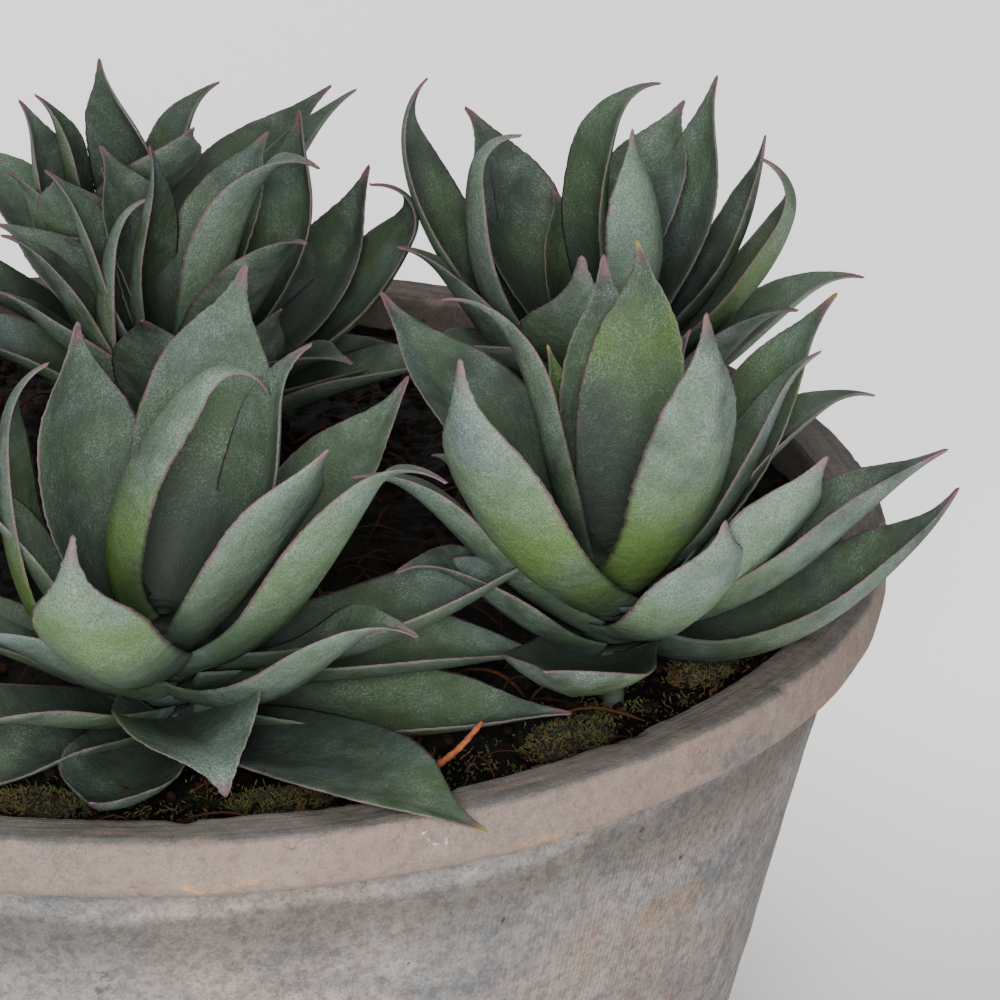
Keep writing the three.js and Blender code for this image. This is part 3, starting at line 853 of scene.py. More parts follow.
@dataclass
class Whorl:
    """A moulding of leaves round one collar that is threaded on the stem."""

    name: str
    leaves: Sequence[Leaf]
    axis: Array
    seed: int
    rows: int = 84
    columns: int = 9
    root: float = 6.5
    collar_radius: float = 8.5
    collar_height: float = 4.4
    bore: float = 3.3
    # Depths in millimetres: nicks and ripples of the edge, the groove along the midrib and the keel
    nick: float = 0.22
    ripple: float = 0.45
    groove: float = 0.45
    keel: float = 0.5
    # Share of the length from which the tip bends
    bend_from: float = 0.78

    stations: tuple[float, ...] = (0.0, 0.12, 0.3, 0.46, 0.6, 0.72, 0.81, 0.88, 0.94, 1.0)
    outline: tuple[float, ...] = (0.78, 0.83, 0.94, 1.0, 0.95, 0.78, 0.5, 0.26, 0.12, 0.03)

    def midrib(self, leaf: Leaf, share: Array) -> tuple[Array, Array]:
        """Follows a leaf's midrib.

        Args:
            leaf: The leaf.
            share: Places along it, from 0 to 1.

        Returns:
            Points and unit directions.
        """
        root = self.axis + self.root * heading(leaf.azimuth, 0)
        tip = self.axis + leaf.reach * heading(leaf.azimuth, leaf.rise)
        first = root + 0.4 * leaf.reach * heading(leaf.azimuth, leaf.start)
        second = tip - 0.3 * leaf.reach * heading(leaf.azimuth + leaf.turn, leaf.end)
        t = np.linspace(0, 1, 241)[:, None]
        curve = (1 - t) ** 3 * root + 3 * (1 - t) ** 2 * t * first + 3 * (1 - t) * t**2 * second + t**3 * tip
        run = np.concatenate([[0.0], np.cumsum(np.linalg.norm(np.diff(curve, axis=0), axis=1))])
        run /= run[-1]
        points = np.stack([np.interp(share, run, curve[:, axis]) for axis in range(3)], axis=1)
        slopes = np.gradient(curve, axis=0)
        slopes /= np.linalg.norm(slopes, axis=1)[:, None]
        along = np.stack([np.interp(share, run, slopes[:, axis]) for axis in range(3)], axis=1)
        along /= np.linalg.norm(along, axis=1)[:, None]
        return self.hooked(leaf, share, points, along)

    def hooked(self, leaf: Leaf, share: Array, points: Array, along: Array) -> tuple[Array, Array]:
        """Bends the last part of a midrib.

        Args:
            leaf: The leaf.
            share: Places along the midrib.
            points: Its points.
            along: Its directions.

        Returns:
            Points and directions with the tip bent back and sideways.
        """
        first = int(np.searchsorted(share, self.bend_from))
        across = heading(leaf.azimuth + 90, 0)
        side = across - (along[first] @ across) * along[first]
        side /= np.linalg.norm(side)
        face = np.cross(along[first], side)
        pivot = points[first].copy()
        for row in range(first, len(share)):
            part = ((share[row] - self.bend_from) / 0.22) ** 1.4
            back = np.array(Matrix.Rotation(math.radians(leaf.hook * part), 3, Vector(side)))
            swing = np.array(Matrix.Rotation(math.radians(leaf.sway * part), 3, Vector(face)))
            both = swing @ back
            points[row] = pivot + both @ (points[row] - pivot)
            along[row] = both @ along[row]
        return points, along

    def blade(self, skin: Skin, leaf: Leaf, chance: random.Random) -> None:
        """Adds one leaf: a cupped, pointed blade with a rounded, finely ragged edge.

        Args:
            skin: Where it is added.
            leaf: The leaf.
            chance: Source of its small irregularities.
        """
        share = np.linspace(0, 1, self.rows + 1)[:-1]
        share = share + 0.06 * np.sin(math.pi * share) * share
        centre, along = self.midrib(leaf, share)
        across = heading(leaf.azimuth + 90, 0)
        side = across[None, :] - (along @ across)[:, None] * along
        side /= np.linalg.norm(side, axis=1)[:, None]
        face = np.cross(along, side)
        twist = np.radians(leaf.roll * share)[:, None]
        side, face = side * np.cos(twist) + face * np.sin(twist), face * np.cos(twist) - side * np.sin(twist)
        half = 0.5 * leaf.width * eased(self.stations, self.outline, share)
        thick = eased((0, 0.12, 0.5, 0.85, 1), (1.5, 1.15, 0.95, 0.62, 0.3), share)
        thick = np.minimum(thick, 0.25 + 0.8 * half)
        bend = np.radians(leaf.cup) * (1 - 0.55 * share)
        places = -np.cos(np.linspace(0, math.pi, self.columns))
        lower = places[::-1][1:-1]
        u = np.concatenate([places, lower])[None, :]
        below = np.concatenate([np.zeros(self.columns), np.ones(len(lower))])
        below[0] = below[self.columns - 1] = 0.5
        jitter = np.array([[chance.uniform(-1, 1) for _ in range(2)] for _ in share])
        nick = np.where(u < 0, jitter[:, :1], jitter[:, 1:]) * self.nick * np.abs(u) ** 6
        waves = [chance.uniform(1.3, 2.4) for _ in range(2)]
        phases = [chance.uniform(0, 2 * math.pi) for _ in range(2)]
        lean = share[:, None]
        left = np.sin(2 * math.pi * waves[0] * lean + phases[0])
        right = np.sin(2 * math.pi * waves[1] * lean + phases[1])
        ripple = np.where(u < 0, left, right) * np.abs(u) ** 2.2 * np.sin(math.pi * lean) * self.ripple
        curl = bend[:, None] * u
        sideways = np.sin(curl) / bend[:, None] * half[:, None] + nick * np.sign(u)
        lift = (1 - np.cos(curl)) / bend[:, None] * half[:, None] + ripple * np.minimum(1, half[:, None] / 8)
        body = thick[:, None] * np.sqrt(np.clip(1 - np.abs(u) ** 3.2, 0, 1))
        groove = self.groove * np.exp(-((u / 0.16) ** 2)) * np.sin(math.pi * lean) ** 0.6
        lift = lift + leaf.fold * half[:, None] * (np.sqrt(u**2 + 0.02) - 0.14)
        keel = self.keel * np.exp(-((u / 0.3) ** 2)) * (1 - lean)
        depth = np.where(below[None, :] > 0.75, -body - keel, body - groove * (below[None, :] < 0.25))
        depth[:, 0] = depth[:, self.columns - 1] = 0.0
        up = lift + depth
        grid = centre[:, None, :] + side[:, None, :] * sideways[..., None] + face[:, None, :] * up[..., None]
        sides = u.shape[1]
        tip = centre[-1] + along[-1] * 0.9
        ends = [centre[0] - along[0] * 0.5, tip]
        points = np.concatenate([grid.reshape(-1, 3), ends])
        faces = tube_faces(self.rows, sides, self.rows * sides, self.rows * sides + 1)
        # The leaf's painted light or shade, plus a random tone of its own
        tone = leaf.shade + chance.uniform(-0.35, 0.35)
        green = leaf.flush * chance.uniform(0.6, 1.3) * np.exp(-(((share - leaf.flush_at) / 0.26) ** 2))
        skin.add(
            points, faces,
            along=np.concatenate([np.repeat(share, sides), [0.0, 1.0]]),
            across=np.concatenate([np.tile(u[0], self.rows), [0.0, 0.0]]),
            under=np.concatenate([np.tile(below, self.rows), [0.5, 0.5]]),
            tone=tone,
            flush=np.concatenate([np.repeat(green, sides), [green[0], green[-1]]]),
        )

    def collar(self, skin: Skin) -> None:
        """Adds the collar that joins the leaves, with a rounded edge and a bore for the stem."""
        high = 0.5 * self.collar_height
        wide = self.collar_radius
        outline = [
            (self.bore, -high), (wide - 1.2, -high), (wide - 0.3, -high + 0.6), (wide, 0.0),
            (wide - 0.3, high - 0.6), (wide - 1.4, high), (self.bore, high + 0.4),
        ]
        sides = 32
        rows = len(outline)
        turns = np.linspace(0, 2 * math.pi, sides, endpoint=False)
        points = np.array([[r * np.cos(turns), r * np.sin(turns), np.full(sides, z)] for r, z in outline])
        points = points.transpose(0, 2, 1).reshape(-1, 3) + self.axis
        faces = []
        for row in range(rows):
            here, above = row * sides, ((row + 1) % rows) * sides
            for place in range(sides):
                after = (place + 1) % sides
                faces.append((here + place, here + after, above + after, above + place))
        # along 0.06 and under 0 give the collar the painted shade of the leaf roots, and tone -0.2 darkens it
        skin.add(points, faces, along=0.06, across=0.0, under=0.0, tone=-0.2, flush=0.1)

    def build(self, material: bpy.types.Material) -> None:
        """Builds the whorl in place of its CAD node."""
        chance = random.Random(self.seed)
        skin = Skin()
        self.collar(skin)
        for leaf in self.leaves:
            self.blade(skin, leaf, chance)
        skin.piece(self.name, material, [self.name])


@dataclass
class Rosette:
    """A stem with its whorls."""

    name: str
    x: float
    y: float
    z: float
    ground: float
    whorls: Sequence[Sequence[Leaf]]
    pitch: float = 6.0
    stem_radius: float = 3.0
    buried: float = 22.0

    def stem(self, material: bpy.types.Material) -> None:
        """Builds the stem, slightly ringed and rounded at its head."""
        head = self.z + self.pitch * (len(self.whorls) - 1) + 3.2
        heights = np.linspace(self.ground - self.buried, head - 1.5, 34)
        radii = self.stem_radius * (0.93 + 0.05 * np.sin(heights * 1.6))
        heights = np.concatenate([heights, [head - 0.7, head - 0.2]])
        radii = np.concatenate([radii, [2.2, 1.2]])
        path = np.stack([np.full_like(heights, self.x), np.full_like(heights, self.y), heights], axis=1)
        points, faces, along = tube(path, radii, 20)
        skin = Skin()
        skin.add(points, faces, along=along)
        skin.piece(f"{self.name}_stem", material, [f"{self.name}_stem"])

    def build(self, leaf: bpy.types.Material, stem: bpy.types.Material, seed: int) -> None:
        """Builds the stem and all its whorls."""
        self.stem(stem)
        for step, leaves in enumerate(self.whorls):
            axis = np.array([self.x, self.y, self.z + self.pitch * step])
            Whorl(f"{self.name}_whorl_{step + 1}", leaves, axis, seed * 10 + step).build(leaf)


LEAVES_A = (
    (
        Leaf(-44, 3, 103, 12, -12, width=38, turn=14, cup=22, flush=0.4, flush_at=0.95, hook=0),
        Leaf(-109, 7, 56, -9, 40, width=34, cup=62, hook=0, fold=0.2),
        Leaf(-150, -2, 62, 8, -10),
        Leaf(45, 5, 85, 15, 0, width=27),
        Leaf(110, 5, 80, 15, 0, width=27),
    ),
    (
        Leaf(-4, 0, 99, -15, 10, width=34, turn=-4, cup=40, flush=0.4, roll=6, hook=4, fold=0.3),
        Leaf(-74, 1, 51, 0, -50, width=40, cup=52, roll=20, fold=0.35),
        Leaf(-135, 14, 83, 10, -8, width=28, flush=0.4),
        Leaf(160, 12, 85, 20, 0, width=27),
        Leaf(80, 14, 80, 22, 0, width=27),
    ),
    (
        Leaf(7, 1, 98, -2, 2, width=34, cup=46, roll=2, fold=0.3),
        Leaf(-36, 27, 80, -6, 22, width=32, turn=6, cup=44, flush=0.2, shade=0.3, roll=8, hook=22, fold=0.3),
        Leaf(-138, 27, 78, 20, 5),
        Leaf(178, 48, 78, 40, 35, width=28),
        Leaf(70, 28, 80, 35, 20, width=27),
    ),
    (
        Leaf(2, 16, 101, -10, 32, width=34, cup=50, roll=-2, hook=2, fold=0.3),
        Leaf(-108, 41, 92, 12, 90, width=32, cup=42, flush=0.8, flush_at=0.62, roll=10, hook=-16, fold=0.3),
        Leaf(30, 39, 93, 34, 50, width=36, cup=35, shade=0.3, hook=-4),
        Leaf(172, 70, 85, -16, 134, width=34, cup=40, flush=0.9, flush_at=0.35, hook=-12),
        Leaf(-28, 46, 99, 20, 44, width=33, turn=6, cup=44, shade=0.2, roll=-10, hook=38),
    ),
    (
        Leaf(125, 67, 79, 18, 113, width=35, cup=45, shade=0.2, hook=6),
        Leaf(14, 67, 82, 42, 72, width=30, roll=14, hook=24, fold=0.02),
        Leaf(-34, 51, 77, 42, 50, width=36, cup=20, shade=0.2, roll=-16, hook=-2),
    ),
    (
        Leaf(-172, 111, 73, 52, 180, width=24, cup=70, shade=0.2, flush=0.9, flush_at=0.2, roll=-6, hook=-40),
        Leaf(66, 53, 91, 70, 70, width=34, turn=-40, cup=45, shade=0.2, roll=44, hook=4, fold=0.0),
    ),
)
LEAVES_B = (
    (
        Leaf(-112, 20, 58, -12, 52, width=40, cup=44, flush=0.5),
        Leaf(-167, 28, 63, 20, 0, width=28),
        Leaf(6, 22, 95, -26, 52, width=34, cup=50, shade=-0.1, roll=-8, hook=-4, fold=0.35),
        Leaf(40, 6, 79, 20, 5, width=27),
        Leaf(105, 5, 74, 20, 5, width=27),
    ),
    (
        Leaf(-55, 44, 59, 10, 78, width=36, turn=10, cup=36, shade=0.4, hook=-8),
        Leaf(-6, 31, 94, 4, 34, width=36, cup=46, roll=-8, hook=2, fold=0.35),
        Leaf(-172, 37, 80, 26, 20, width=26, roll=14),
        Leaf(130, 24, 71, 40, 15, width=27),
        Leaf(22, 36, 89, 52, 8, width=30, roll=-10),
    ),
    (
        Leaf(-130, 52, 107, 28, 78, width=33, cup=38, flush=0.9, flush_at=0.36, hook=-6),
        Leaf(-26, 41, 72, 0, 60, width=38, cup=30, shade=0.4, roll=-36, hook=0),
        Leaf(26, 49, 94, 30, 56, width=36, cup=40, flush=0.6, flush_at=0.75, roll=-6, hook=8),
        Leaf(138, 42, 98, 56, 58, width=36, cup=40, hook=4),
    ),
    (
        Leaf(6, 51, 76, 22, 58, width=26, roll=-10),
        Leaf(170, 62, 86, 66, 22, width=22, cup=60, roll=24, hook=16),
        Leaf(97, 79, 81, 74, 84, width=27, shade=-0.5, hook=2),
        Leaf(-58, 66, 89, 36, 92, width=31, cup=40, flush=0.8, flush_at=0.22, shade=0.2, hook=-4),
    ),
    (
        Leaf(68, 78, 79, 96, 74, width=27, turn=90, cup=40, flush=1.1, flush_at=0.8, shade=0.2, hook=0),
        Leaf(30, 71, 59, 66, 84, width=24, cup=60, flush=0.8),
        Leaf(140, 69, 55, 66, 82, width=19, flush=1.3, flush_at=0.8, hook=4),
    ),
)
LEAVES_C = (
    (
        Leaf(5, 29, 85, 14, 14),
        Leaf(-36, 38, 78, 22, 35),
        Leaf(-167, 48, 80, 40, 45, width=34, cup=40, flush=1.0),
        Leaf(45, 20, 75, 30, 10, width=27),
    ),
    (
        Leaf(120, 25, 80, 35, 15, width=27),
        Leaf(-10, 54, 92, 36, 102, width=36, flush=0.6, hook=-30),
        Leaf(-140, 28, 72, 38, 20, width=28),
    ),
    (
        Leaf(2, 57, 83, 36, 92, hook=4),
        Leaf(160, 58, 99, 26, 106, width=32, hook=-14),
        Leaf(-98, 42, 90, 28, 90, width=38, cup=40, flush=0.4, shade=-0.2, hook=-4),
    ),
    (
        Leaf(134, 57, 77, 40, 84, width=36, cup=45, hook=24),
        Leaf(28, 65, 83, 34, 102, width=30, cup=45, flush=0.5, shade=0.3),
        Leaf(120, 67, 48, 60, 65, width=22, shade=-0.6),
        Leaf(174, 68, 76, 0, 120, width=38, shade=0.2, hook=-34),
    ),
    (
        Leaf(-50, 79, 65, 34, 104, width=24, shade=0.6, hook=6),
        Leaf(20, 77, 76, 100, 20, width=27, cup=55, shade=0.3),
        Leaf(54, 52, 73, 74, 60, width=30, cup=45),
    ),
)
LEAVES_D = (
    (
        Leaf(-104, 52, 68, 35, 60, cup=45, shade=-0.3),
        Leaf(-58, 50, 72, 30, 70, width=26, shade=-0.4),
        Leaf(-20, 22, 88, 30, 15),
        Leaf(175, 25, 85, 35, 15),
        Leaf(50, 18, 78, 28, 8, width=28),
    ),
    (
        Leaf(-2, 16, 72, 20, 20, width=34, shade=-1.0),
        Leaf(-50, 30, 78, 38, 25, shade=-0.8),
        Leaf(140, 35, 80, 45, 25, width=28),
        Leaf(-176, 52, 74, 40, 45, width=32, cup=45),
        Leaf(-158, 44, 69, 45, 60, width=28),
    ),
    (
        Leaf(14, 38, 94, 6, 66, width=37, cup=45, shade=-0.9, hook=-65),
        Leaf(30, 45, 80, 8, 102, width=36, cup=45, shade=-1.1),
        Leaf(170, 80, 60, -20, 146, width=35, cup=45, flush=0.5, hook=-10),
        Leaf(168, 63, 74, 55, 65),
    ),
    (
        Leaf(34, 62, 77, 18, 124, width=38, cup=45, flush=0.5, shade=-0.2, fold=0.35),
        Leaf(-58, 46, 85, 50, 40, width=27, cup=45, hook=16),
        Leaf(160, 86, 66, 58, 102, width=30, cup=55, shade=-0.5),
        Leaf(130, 61, 62, 66, 60, width=26, shade=-0.4),
    ),
    (
        Leaf(-30, 57, 77, 74, 4, width=30, shade=0.2),
        Leaf(50, 57, 67, 78, 62, width=28),
        Leaf(130, 61, 62, 75, 72, width=28),
    ),
)
LEAVES_E = (
    (
        Leaf(-15, 22, 75, 26, 15, width=28),
        Leaf(180, 25, 78, 30, 15, width=28),
        Leaf(80, 25, 75, 30, 15, width=28),
    ),
    (
        Leaf(12, 44, 97, 34, 60, width=28, flush=0.5),
        Leaf(135, 35, 75, 45, 25, width=28),
        Leaf(-100, 45, 65, 45, 45, width=28),
        Leaf(-155, 62, 60, 50, 60, width=26, shade=-0.3),
    ),
    (
        Leaf(34, 35, 93, 44, 58, width=31, cup=45),
        Leaf(158, 69, 64, 55, 82, width=30),
        Leaf(-110, 55, 66, 55, 60, width=28),
    ),
    (
        Leaf(16, 62, 67, 58, 50, width=30, cup=45),
        Leaf(40, 94, 67, 50, 126, width=32, cup=40, flush=0.1, shade=0.3),
    ),
    (
        Leaf(-62, 50, 77, 70, 75, width=30, cup=40),
        Leaf(175, 72, 55, 80, 68, width=24),
    ),
)

# Out of the photograph on the left: the same growth, laid out evenly
LEAVES_F = (
    ring(5, -20, 16, 84, 26, 10),
    ring(4, 15, 34, 84, 42, 26),
    ring(4, -30, 50, 82, 54, 56),
    ring(3, 20, 65, 74, 68, 68),
    ring(2, -20, 77, 62, 84, 66),
)
LEAVES_G = (
    ring(5, -15, 8, 82, 18, 2),
    ring(4, 20, 26, 82, 36, 18),
    ring(4, -25, 46, 80, 50, 48),
    ring(3, 10, 63, 74, 66, 66),
    ring(2, -30, 76, 62, 84, 64),
)


# Pot and ground


@dataclass
class ClayPot:
    """The clay pot: a thick wall, a straight band under the rim and a tapering body."""

    sides: int = 840
    rim_radius: float = 190.0
    rim_inner: float = 177.0
    top: float = 200.0
    neck_radius: float = 180.0
    neck_height: float = 183.5
    base_radius: float = 134.0
    wall: float = 12.0
    floor: float = 14.0
    chips: int = 70
    seed: int = 41
    # Width, seed and depth of the waves on the wall and on the flat top of the rim
    wobbles: tuple[tuple[float, float, float], ...] = ((70.0, 3.1, 0.9), (17.0, 8.4, 0.35), (5.0, 1.9, 0.14))
    rim_wobbles: tuple[tuple[float, float, float], ...] = ((24.0, 5.5, 0.45), (4.0, 2.2, 0.22))

    def profile(self) -> Array:
        """The wall's section from the underside's centre round to the floor's centre."""
        def line(first: tuple[float, float], last: tuple[float, float], steps: int) -> Array:
            """Points from first up to, but without, last."""
            return np.linspace(first, last, steps, endpoint=False)

        neck = (self.neck_radius - 2.9, self.neck_height - 11.5)
        slope = (self.neck_radius - self.base_radius) / self.neck_height
        inner = self.base_radius + slope * self.floor - self.wall
        step = self.base_radius + slope * 174 - self.wall + 1
        parts = [
            line((0, 0), (self.base_radius - 2, 0), 8),
            line((self.base_radius - 2, 0), (self.base_radius, 2), 2),
            line((self.base_radius, 2), neck, 50),
            np.array([neck, (178.0, 176.0), (178.9, 179.2), (180.2, 181.4), (182.2, 182.9), (184.6, 183.6)]),
            np.array([(187.0, 184.1), (188.6, 185.1), (189.5, 186.6)]),
            line((189.9, 188.4), (190, 197.6), 5),
            np.array([(190.0, 197.8), (189.7, 198.8), (189.1, 199.5), (188.2, 199.9)]),
            line((187.2, 200), (178.6, 199.7), 6),
            np.array([(178.3, 199.7), (177.6, 199.3), (177.1, 198.5)]),
            line((177, 197.4), (176, 186), 7),
            line((176, 186), (step, 174), 4),
            line((step, 174), (inner, self.floor), 12),
            line((inner, self.floor), (0, self.floor), 6),
            np.array([(0, self.floor)]),
        ]
        return np.concatenate(parts)

    def age(self, points: Array, turns: Array) -> Array:
        """Wears the turned form: hand-made wobble, dents and a chipped rim.

        Args:
            points: Points of the turned form in millimetres.
            turns: Angle of each one.

        Returns:
            The worn points.
        """
        radial = np.stack([np.cos(turns), np.sin(turns), np.zeros_like(turns)], axis=1)
        height = points[:, 2]
        inner = np.interp(height, (14, 174, 200), (126, 168, 177.4))
        hollow = np.hypot(points[:, 0], points[:, 1]) < inner
        skin = np.where(hollow & (height > 10), 0.25, 1.0) * (height > 1.0)
        wave = sum(rough(points, size, seed) * depth for size, seed, depth in self.wobbles)
        moved = points + radial * (wave * skin)[:, None]
        flat = sum(rough(points, size, seed) * depth for size, seed, depth in self.rim_wobbles)
        moved[:, 2] += np.where(height > 199.0, flat, 0.0)
        chance = random.Random(self.seed)
        for _ in range(self.chips):
            place = chance.choice(list(Place))
            turn = chance.uniform(0, 2 * math.pi)
            edge = self.rim_radius if place is Place.OUTER_EDGE else self.rim_inner
            middle = np.array([edge * math.cos(turn), edge * math.sin(turn), self.top])
            size = chance.uniform(1.6, 4.8) * (1.0 if place is Place.INNER_EDGE else 0.8)
            stretch = np.array([1.0, 1.0, 1.6])
            gap = np.linalg.norm((points - middle) * stretch, axis=1) / size
            bite = np.clip(1 - gap, 0, 1) ** 0.8 * size * chance.uniform(0.18, 0.34)
            inward = -1.0 if place is Place.OUTER_EDGE else 1.0
            moved += radial * (bite * 0.7 * inward)[:, None]
            moved[:, 2] -= bite * 0.8
        return moved

    def build(self, material: bpy.types.Material) -> None:
        """Builds the pot in place of its CAD node."""
        points, faces = turned(self.profile(), self.sides, self.age)
        skin = Skin()
        skin.add(points, faces)
        skin.piece("clay_pot", material, ["pot"])


@dataclass
class SoilBed:
    """The growing mix that fills the pot: lumpy peat with crumbs and fibres on top."""

    radius: float = 175.2
    edge_height: float = 189.0
    mound: float = 6.0
    rim_inner: float = 177.0
    floor: float = 14.35
    crumbs: int = 2600
    fibres: int = 420
    seed: int = 17
    # Width, seed and depth of the lumps on top
    lumps: tuple[tuple[float, float, float], ...] = ((24.0, 4.4, 1.7), (7.0, 6.1, 1.3), (2.6, 9.2, 0.8))

    def height(self, x: float, y: float) -> float:
        """Level of the mix at a place before it is roughened."""
        return self.edge_height + self.mound * (1 - (x * x + y * y) / self.rim_inner**2)

    def surface(self, points: Array, _turns: Array) -> Array:
        """Roughens the top, less so at the wall."""
        radii = np.hypot(points[:, 0], points[:, 1])
        top = points[:, 2] > 187.5
        lumps = sum(rough(points, size, seed) * depth for size, seed, depth in self.lumps)
        moved = points.copy()
        moved[:, 2] += np.where(top, lumps * np.clip((178 - radii) / 5, 0.4, 1), 0.0)
        return moved

    def build(self, material: bpy.types.Material) -> None:
        """Builds the mix in place of its CAD node."""
        radii = np.linspace(self.radius, 1.5, 82)
        profile = [(0.0, self.floor), (125.0, self.floor), (150.0, 100.0), (165.2, 174.0), (175.0, 186.0)]
        profile += [(radius, self.height(radius, 0.0)) for radius in radii]
        profile += [(0.0, self.height(0.0, 0.0))]
        points, faces = turned(np.array(profile), 480, self.surface)
        skin = Skin()
        skin.add(points, faces, tone=0.0, kind=0.0)
        skin.piece("soil_bed", material, ["soil"])
        self.litter(material)

    def litter(self, material: bpy.types.Material) -> None:
        """Strews crumbs and fibres over the mix."""
        chance = random.Random(self.seed)
        skin = Skin()
        ball = self.lump()
        for _ in range(self.crumbs):
            radius = 172 * math.sqrt(chance.random())
            turn = chance.uniform(0, 2 * math.pi)
            x, y = radius * math.cos(turn), radius * math.sin(turn)
            size = chance.uniform(0.5, 1.9) ** 1.4
            spin = Matrix.Rotation(chance.uniform(0, 6.28), 3, Vector((chance.random(), chance.random(), 1)))
            squash = np.array([1.0, chance.uniform(0.6, 1.0), chance.uniform(0.4, 0.8)])
            jitter = np.array([chance.uniform(0.75, 1.2) for _ in ball[0]])[:, None]
            points = (ball[0] * jitter * squash * size) @ np.array(spin).T
            points += np.array([x, y, self.height(x, y) + 0.5 * size])
            skin.add(points, ball[1], tone=chance.random(), kind=0.25 * chance.random())
        for _ in range(self.fibres):
            radius = 170 * math.sqrt(chance.random())
            turn = chance.uniform(0, 2 * math.pi)
            start = np.array([radius * math.cos(turn), radius * math.sin(turn)])
            way = chance.uniform(0, 2 * math.pi)
            bend = chance.uniform(-0.9, 0.9)
            length = chance.uniform(6, 24)
            path = []
            for step in range(8):
                share = step / 7
                if np.hypot(*start) > 172:
                    start *= 172 / np.hypot(*start)
                arch = math.sin(math.pi * share) * min(3.0, length * 0.16)
                path.append([start[0], start[1], self.height(start[0], start[1]) + 1.0 + arch])
                way += bend / 7 + chance.uniform(-0.15, 0.15)
                start = start + length / 7 * np.array([math.cos(way), math.sin(way)])
            thick = chance.uniform(0.16, 0.5)
            radii = thick * np.array([0.6, 0.9, 1, 1, 1, 0.9, 0.8, 0.4])
            points, faces, _ = tube(np.array(path), radii, 5)
            skin.add(points, faces, tone=chance.random(), kind=1.0)
        skin.piece("soil_litter", material, [])

    def lump(self) -> tuple[Array, Faces]:
        """Points and faces of a small round lump."""
        golden = (1 + math.sqrt(5)) / 2
        corners = []
        for a in (-1, 1):
            for b in (-golden, golden):
                corners += [(0, a, b), (a, b, 0), (b, 0, a)]
        points = np.array(corners, dtype=float)
        points /= np.linalg.norm(points[0])
        faces = []
        for i in range(12):
            for j in range(i + 1, 12):
                for k in range(j + 1, 12):
                    trio = points[[i, j, k]]
                    edges = [np.linalg.norm(trio[p] - trio[(p + 1) % 3]) for p in range(3)]
                    if max(edges) < 1.2:
                        out = np.dot(np.cross(trio[1] - trio[0], trio[2] - trio[0]), trio.sum(0)) > 0
                        faces.append((i, j, k) if out else (i, k, j))
        return points, faces


def shoot(skin: Skin, start: Array, chance: random.Random) -> None:
    """Adds one short, bent shoot of moss.

    Args:
        skin: Where it is added.
        start: Its foot in millimetres.
        chance: Source of its size and lean.
    """
    lean = np.array([chance.uniform(-1, 1), chance.uniform(-1, 1), chance.uniform(0.5, 1.2)])
    length = chance.uniform(0.6, 2.0)
    bow = np.array([chance.uniform(-0.5, 0.5), chance.uniform(-0.5, 0.5), -0.2])
    path = np.array([start, start + lean * length * 0.5, start + lean * length + bow])
    radii = np.array([0.16, 0.24, 0.07]) * chance.uniform(0.7, 1.3)
    points, faces, along = tube(path, radii, 3)
    skin.add(points, faces, tone=chance.random(), along=0.15 + 0.85 * along)


@dataclass
class StrayMoss:
    """Small tufts of moss over the mix, mostly along the front edge and round the foot of a rosette."""

    tufts: int = 420
    collar: int = 160
    foot: tuple[float, float] = (109.0, -102.0)
    seed: int = 77

    def build(self, material: bpy.types.Material, soil: SoilBed) -> None:
        """Builds the tufts.

        Args:
            material: The moss's material.
            soil: The mix that they grow on.
        """
        chance = random.Random(self.seed)
        skin = Skin()
        for _ in range(self.tufts):
            turn = math.radians(chance.gauss(-72, 38))
            radius = 174 - abs(chance.gauss(0, 20))
            middle = np.array([radius * math.cos(turn), radius * math.sin(turn)])
            for _ in range(chance.randint(3, 7)):
                spot = middle + np.array([chance.gauss(0, 1.5), chance.gauss(0, 1.5)])
                if np.hypot(*spot) < 175:
                    shoot(skin, np.array([*spot, soil.height(*spot) + 0.3]), chance)
        for _ in range(self.collar):
            turn = math.radians(chance.uniform(-180, 0))
            radius = chance.uniform(3.8, 11)
            spot = np.array(self.foot) + radius * np.array([math.cos(turn), math.sin(turn)])
            shoot(skin, np.array([*spot, soil.height(*spot) + 0.3]), chance)
        skin.piece("moss_strays", material, [])


@dataclass
class MossCushion:
    """A low cushion of moss on the mix."""

    name: str
    x: float
    y: float
    long: float
    broad: float
    high: float
    turn: float
    ground: float
    seed: int
    shoots: int = 800

    def build(self, material: bpy.types.Material) -> None:
        """Builds a lumpy cushion set with short shoots, in place of its CAD node."""
        chance = random.Random(self.seed)
        turn = math.radians(self.turn)
        spin = np.array([[math.cos(turn), -math.sin(turn)], [math.sin(turn), math.cos(turn)]])
        skin = Skin()
        profile = [(0, 0), (1, 0), (0.97, 0.2), (0.86, 0.5), (0.7, 0.72), (0.5, 0.88), (0.25, 0.97), (0, 1)]

        def lumpy(points: Array, turns: Array) -> Array:
            """Gives the cushion its size and an uneven edge."""
            ragged = 0.78 + 0.14 * np.sin(turns * 3 + self.seed) + 0.09 * np.sin(turns * 7 + 2 * self.seed)
            flat = points[:, :2] * ragged[:, None] * np.array([self.long, self.broad])
            placed = flat @ spin.T + np.array([self.x, self.y])
            return np.column_stack([placed, points[:, 2] * self.high * 0.62 + self.ground])

        points, faces = turned(np.array(profile), 40, lumpy)
        points[-2] = [self.x, self.y, self.ground]
        points[-1] = [self.x, self.y, self.ground + self.high * 0.62]
        skin.add(points, faces, tone=0.3, along=0.1)
        for _ in range(self.shoots):
            radius = math.sqrt(chance.random()) * 1.02
            way = chance.uniform(0, 2 * math.pi)
            flat = np.array([radius * math.cos(way) * self.long, radius * math.sin(way) * self.broad])
            spot = spin @ flat + np.array([self.x, self.y])
            base = self.ground + self.high * 0.6 * max(0.0, 1 - radius**2.5) - 0.3
            shoot(skin, np.array([spot[0], spot[1], base]), chance)
        skin.piece(self.name, material, [self.name])


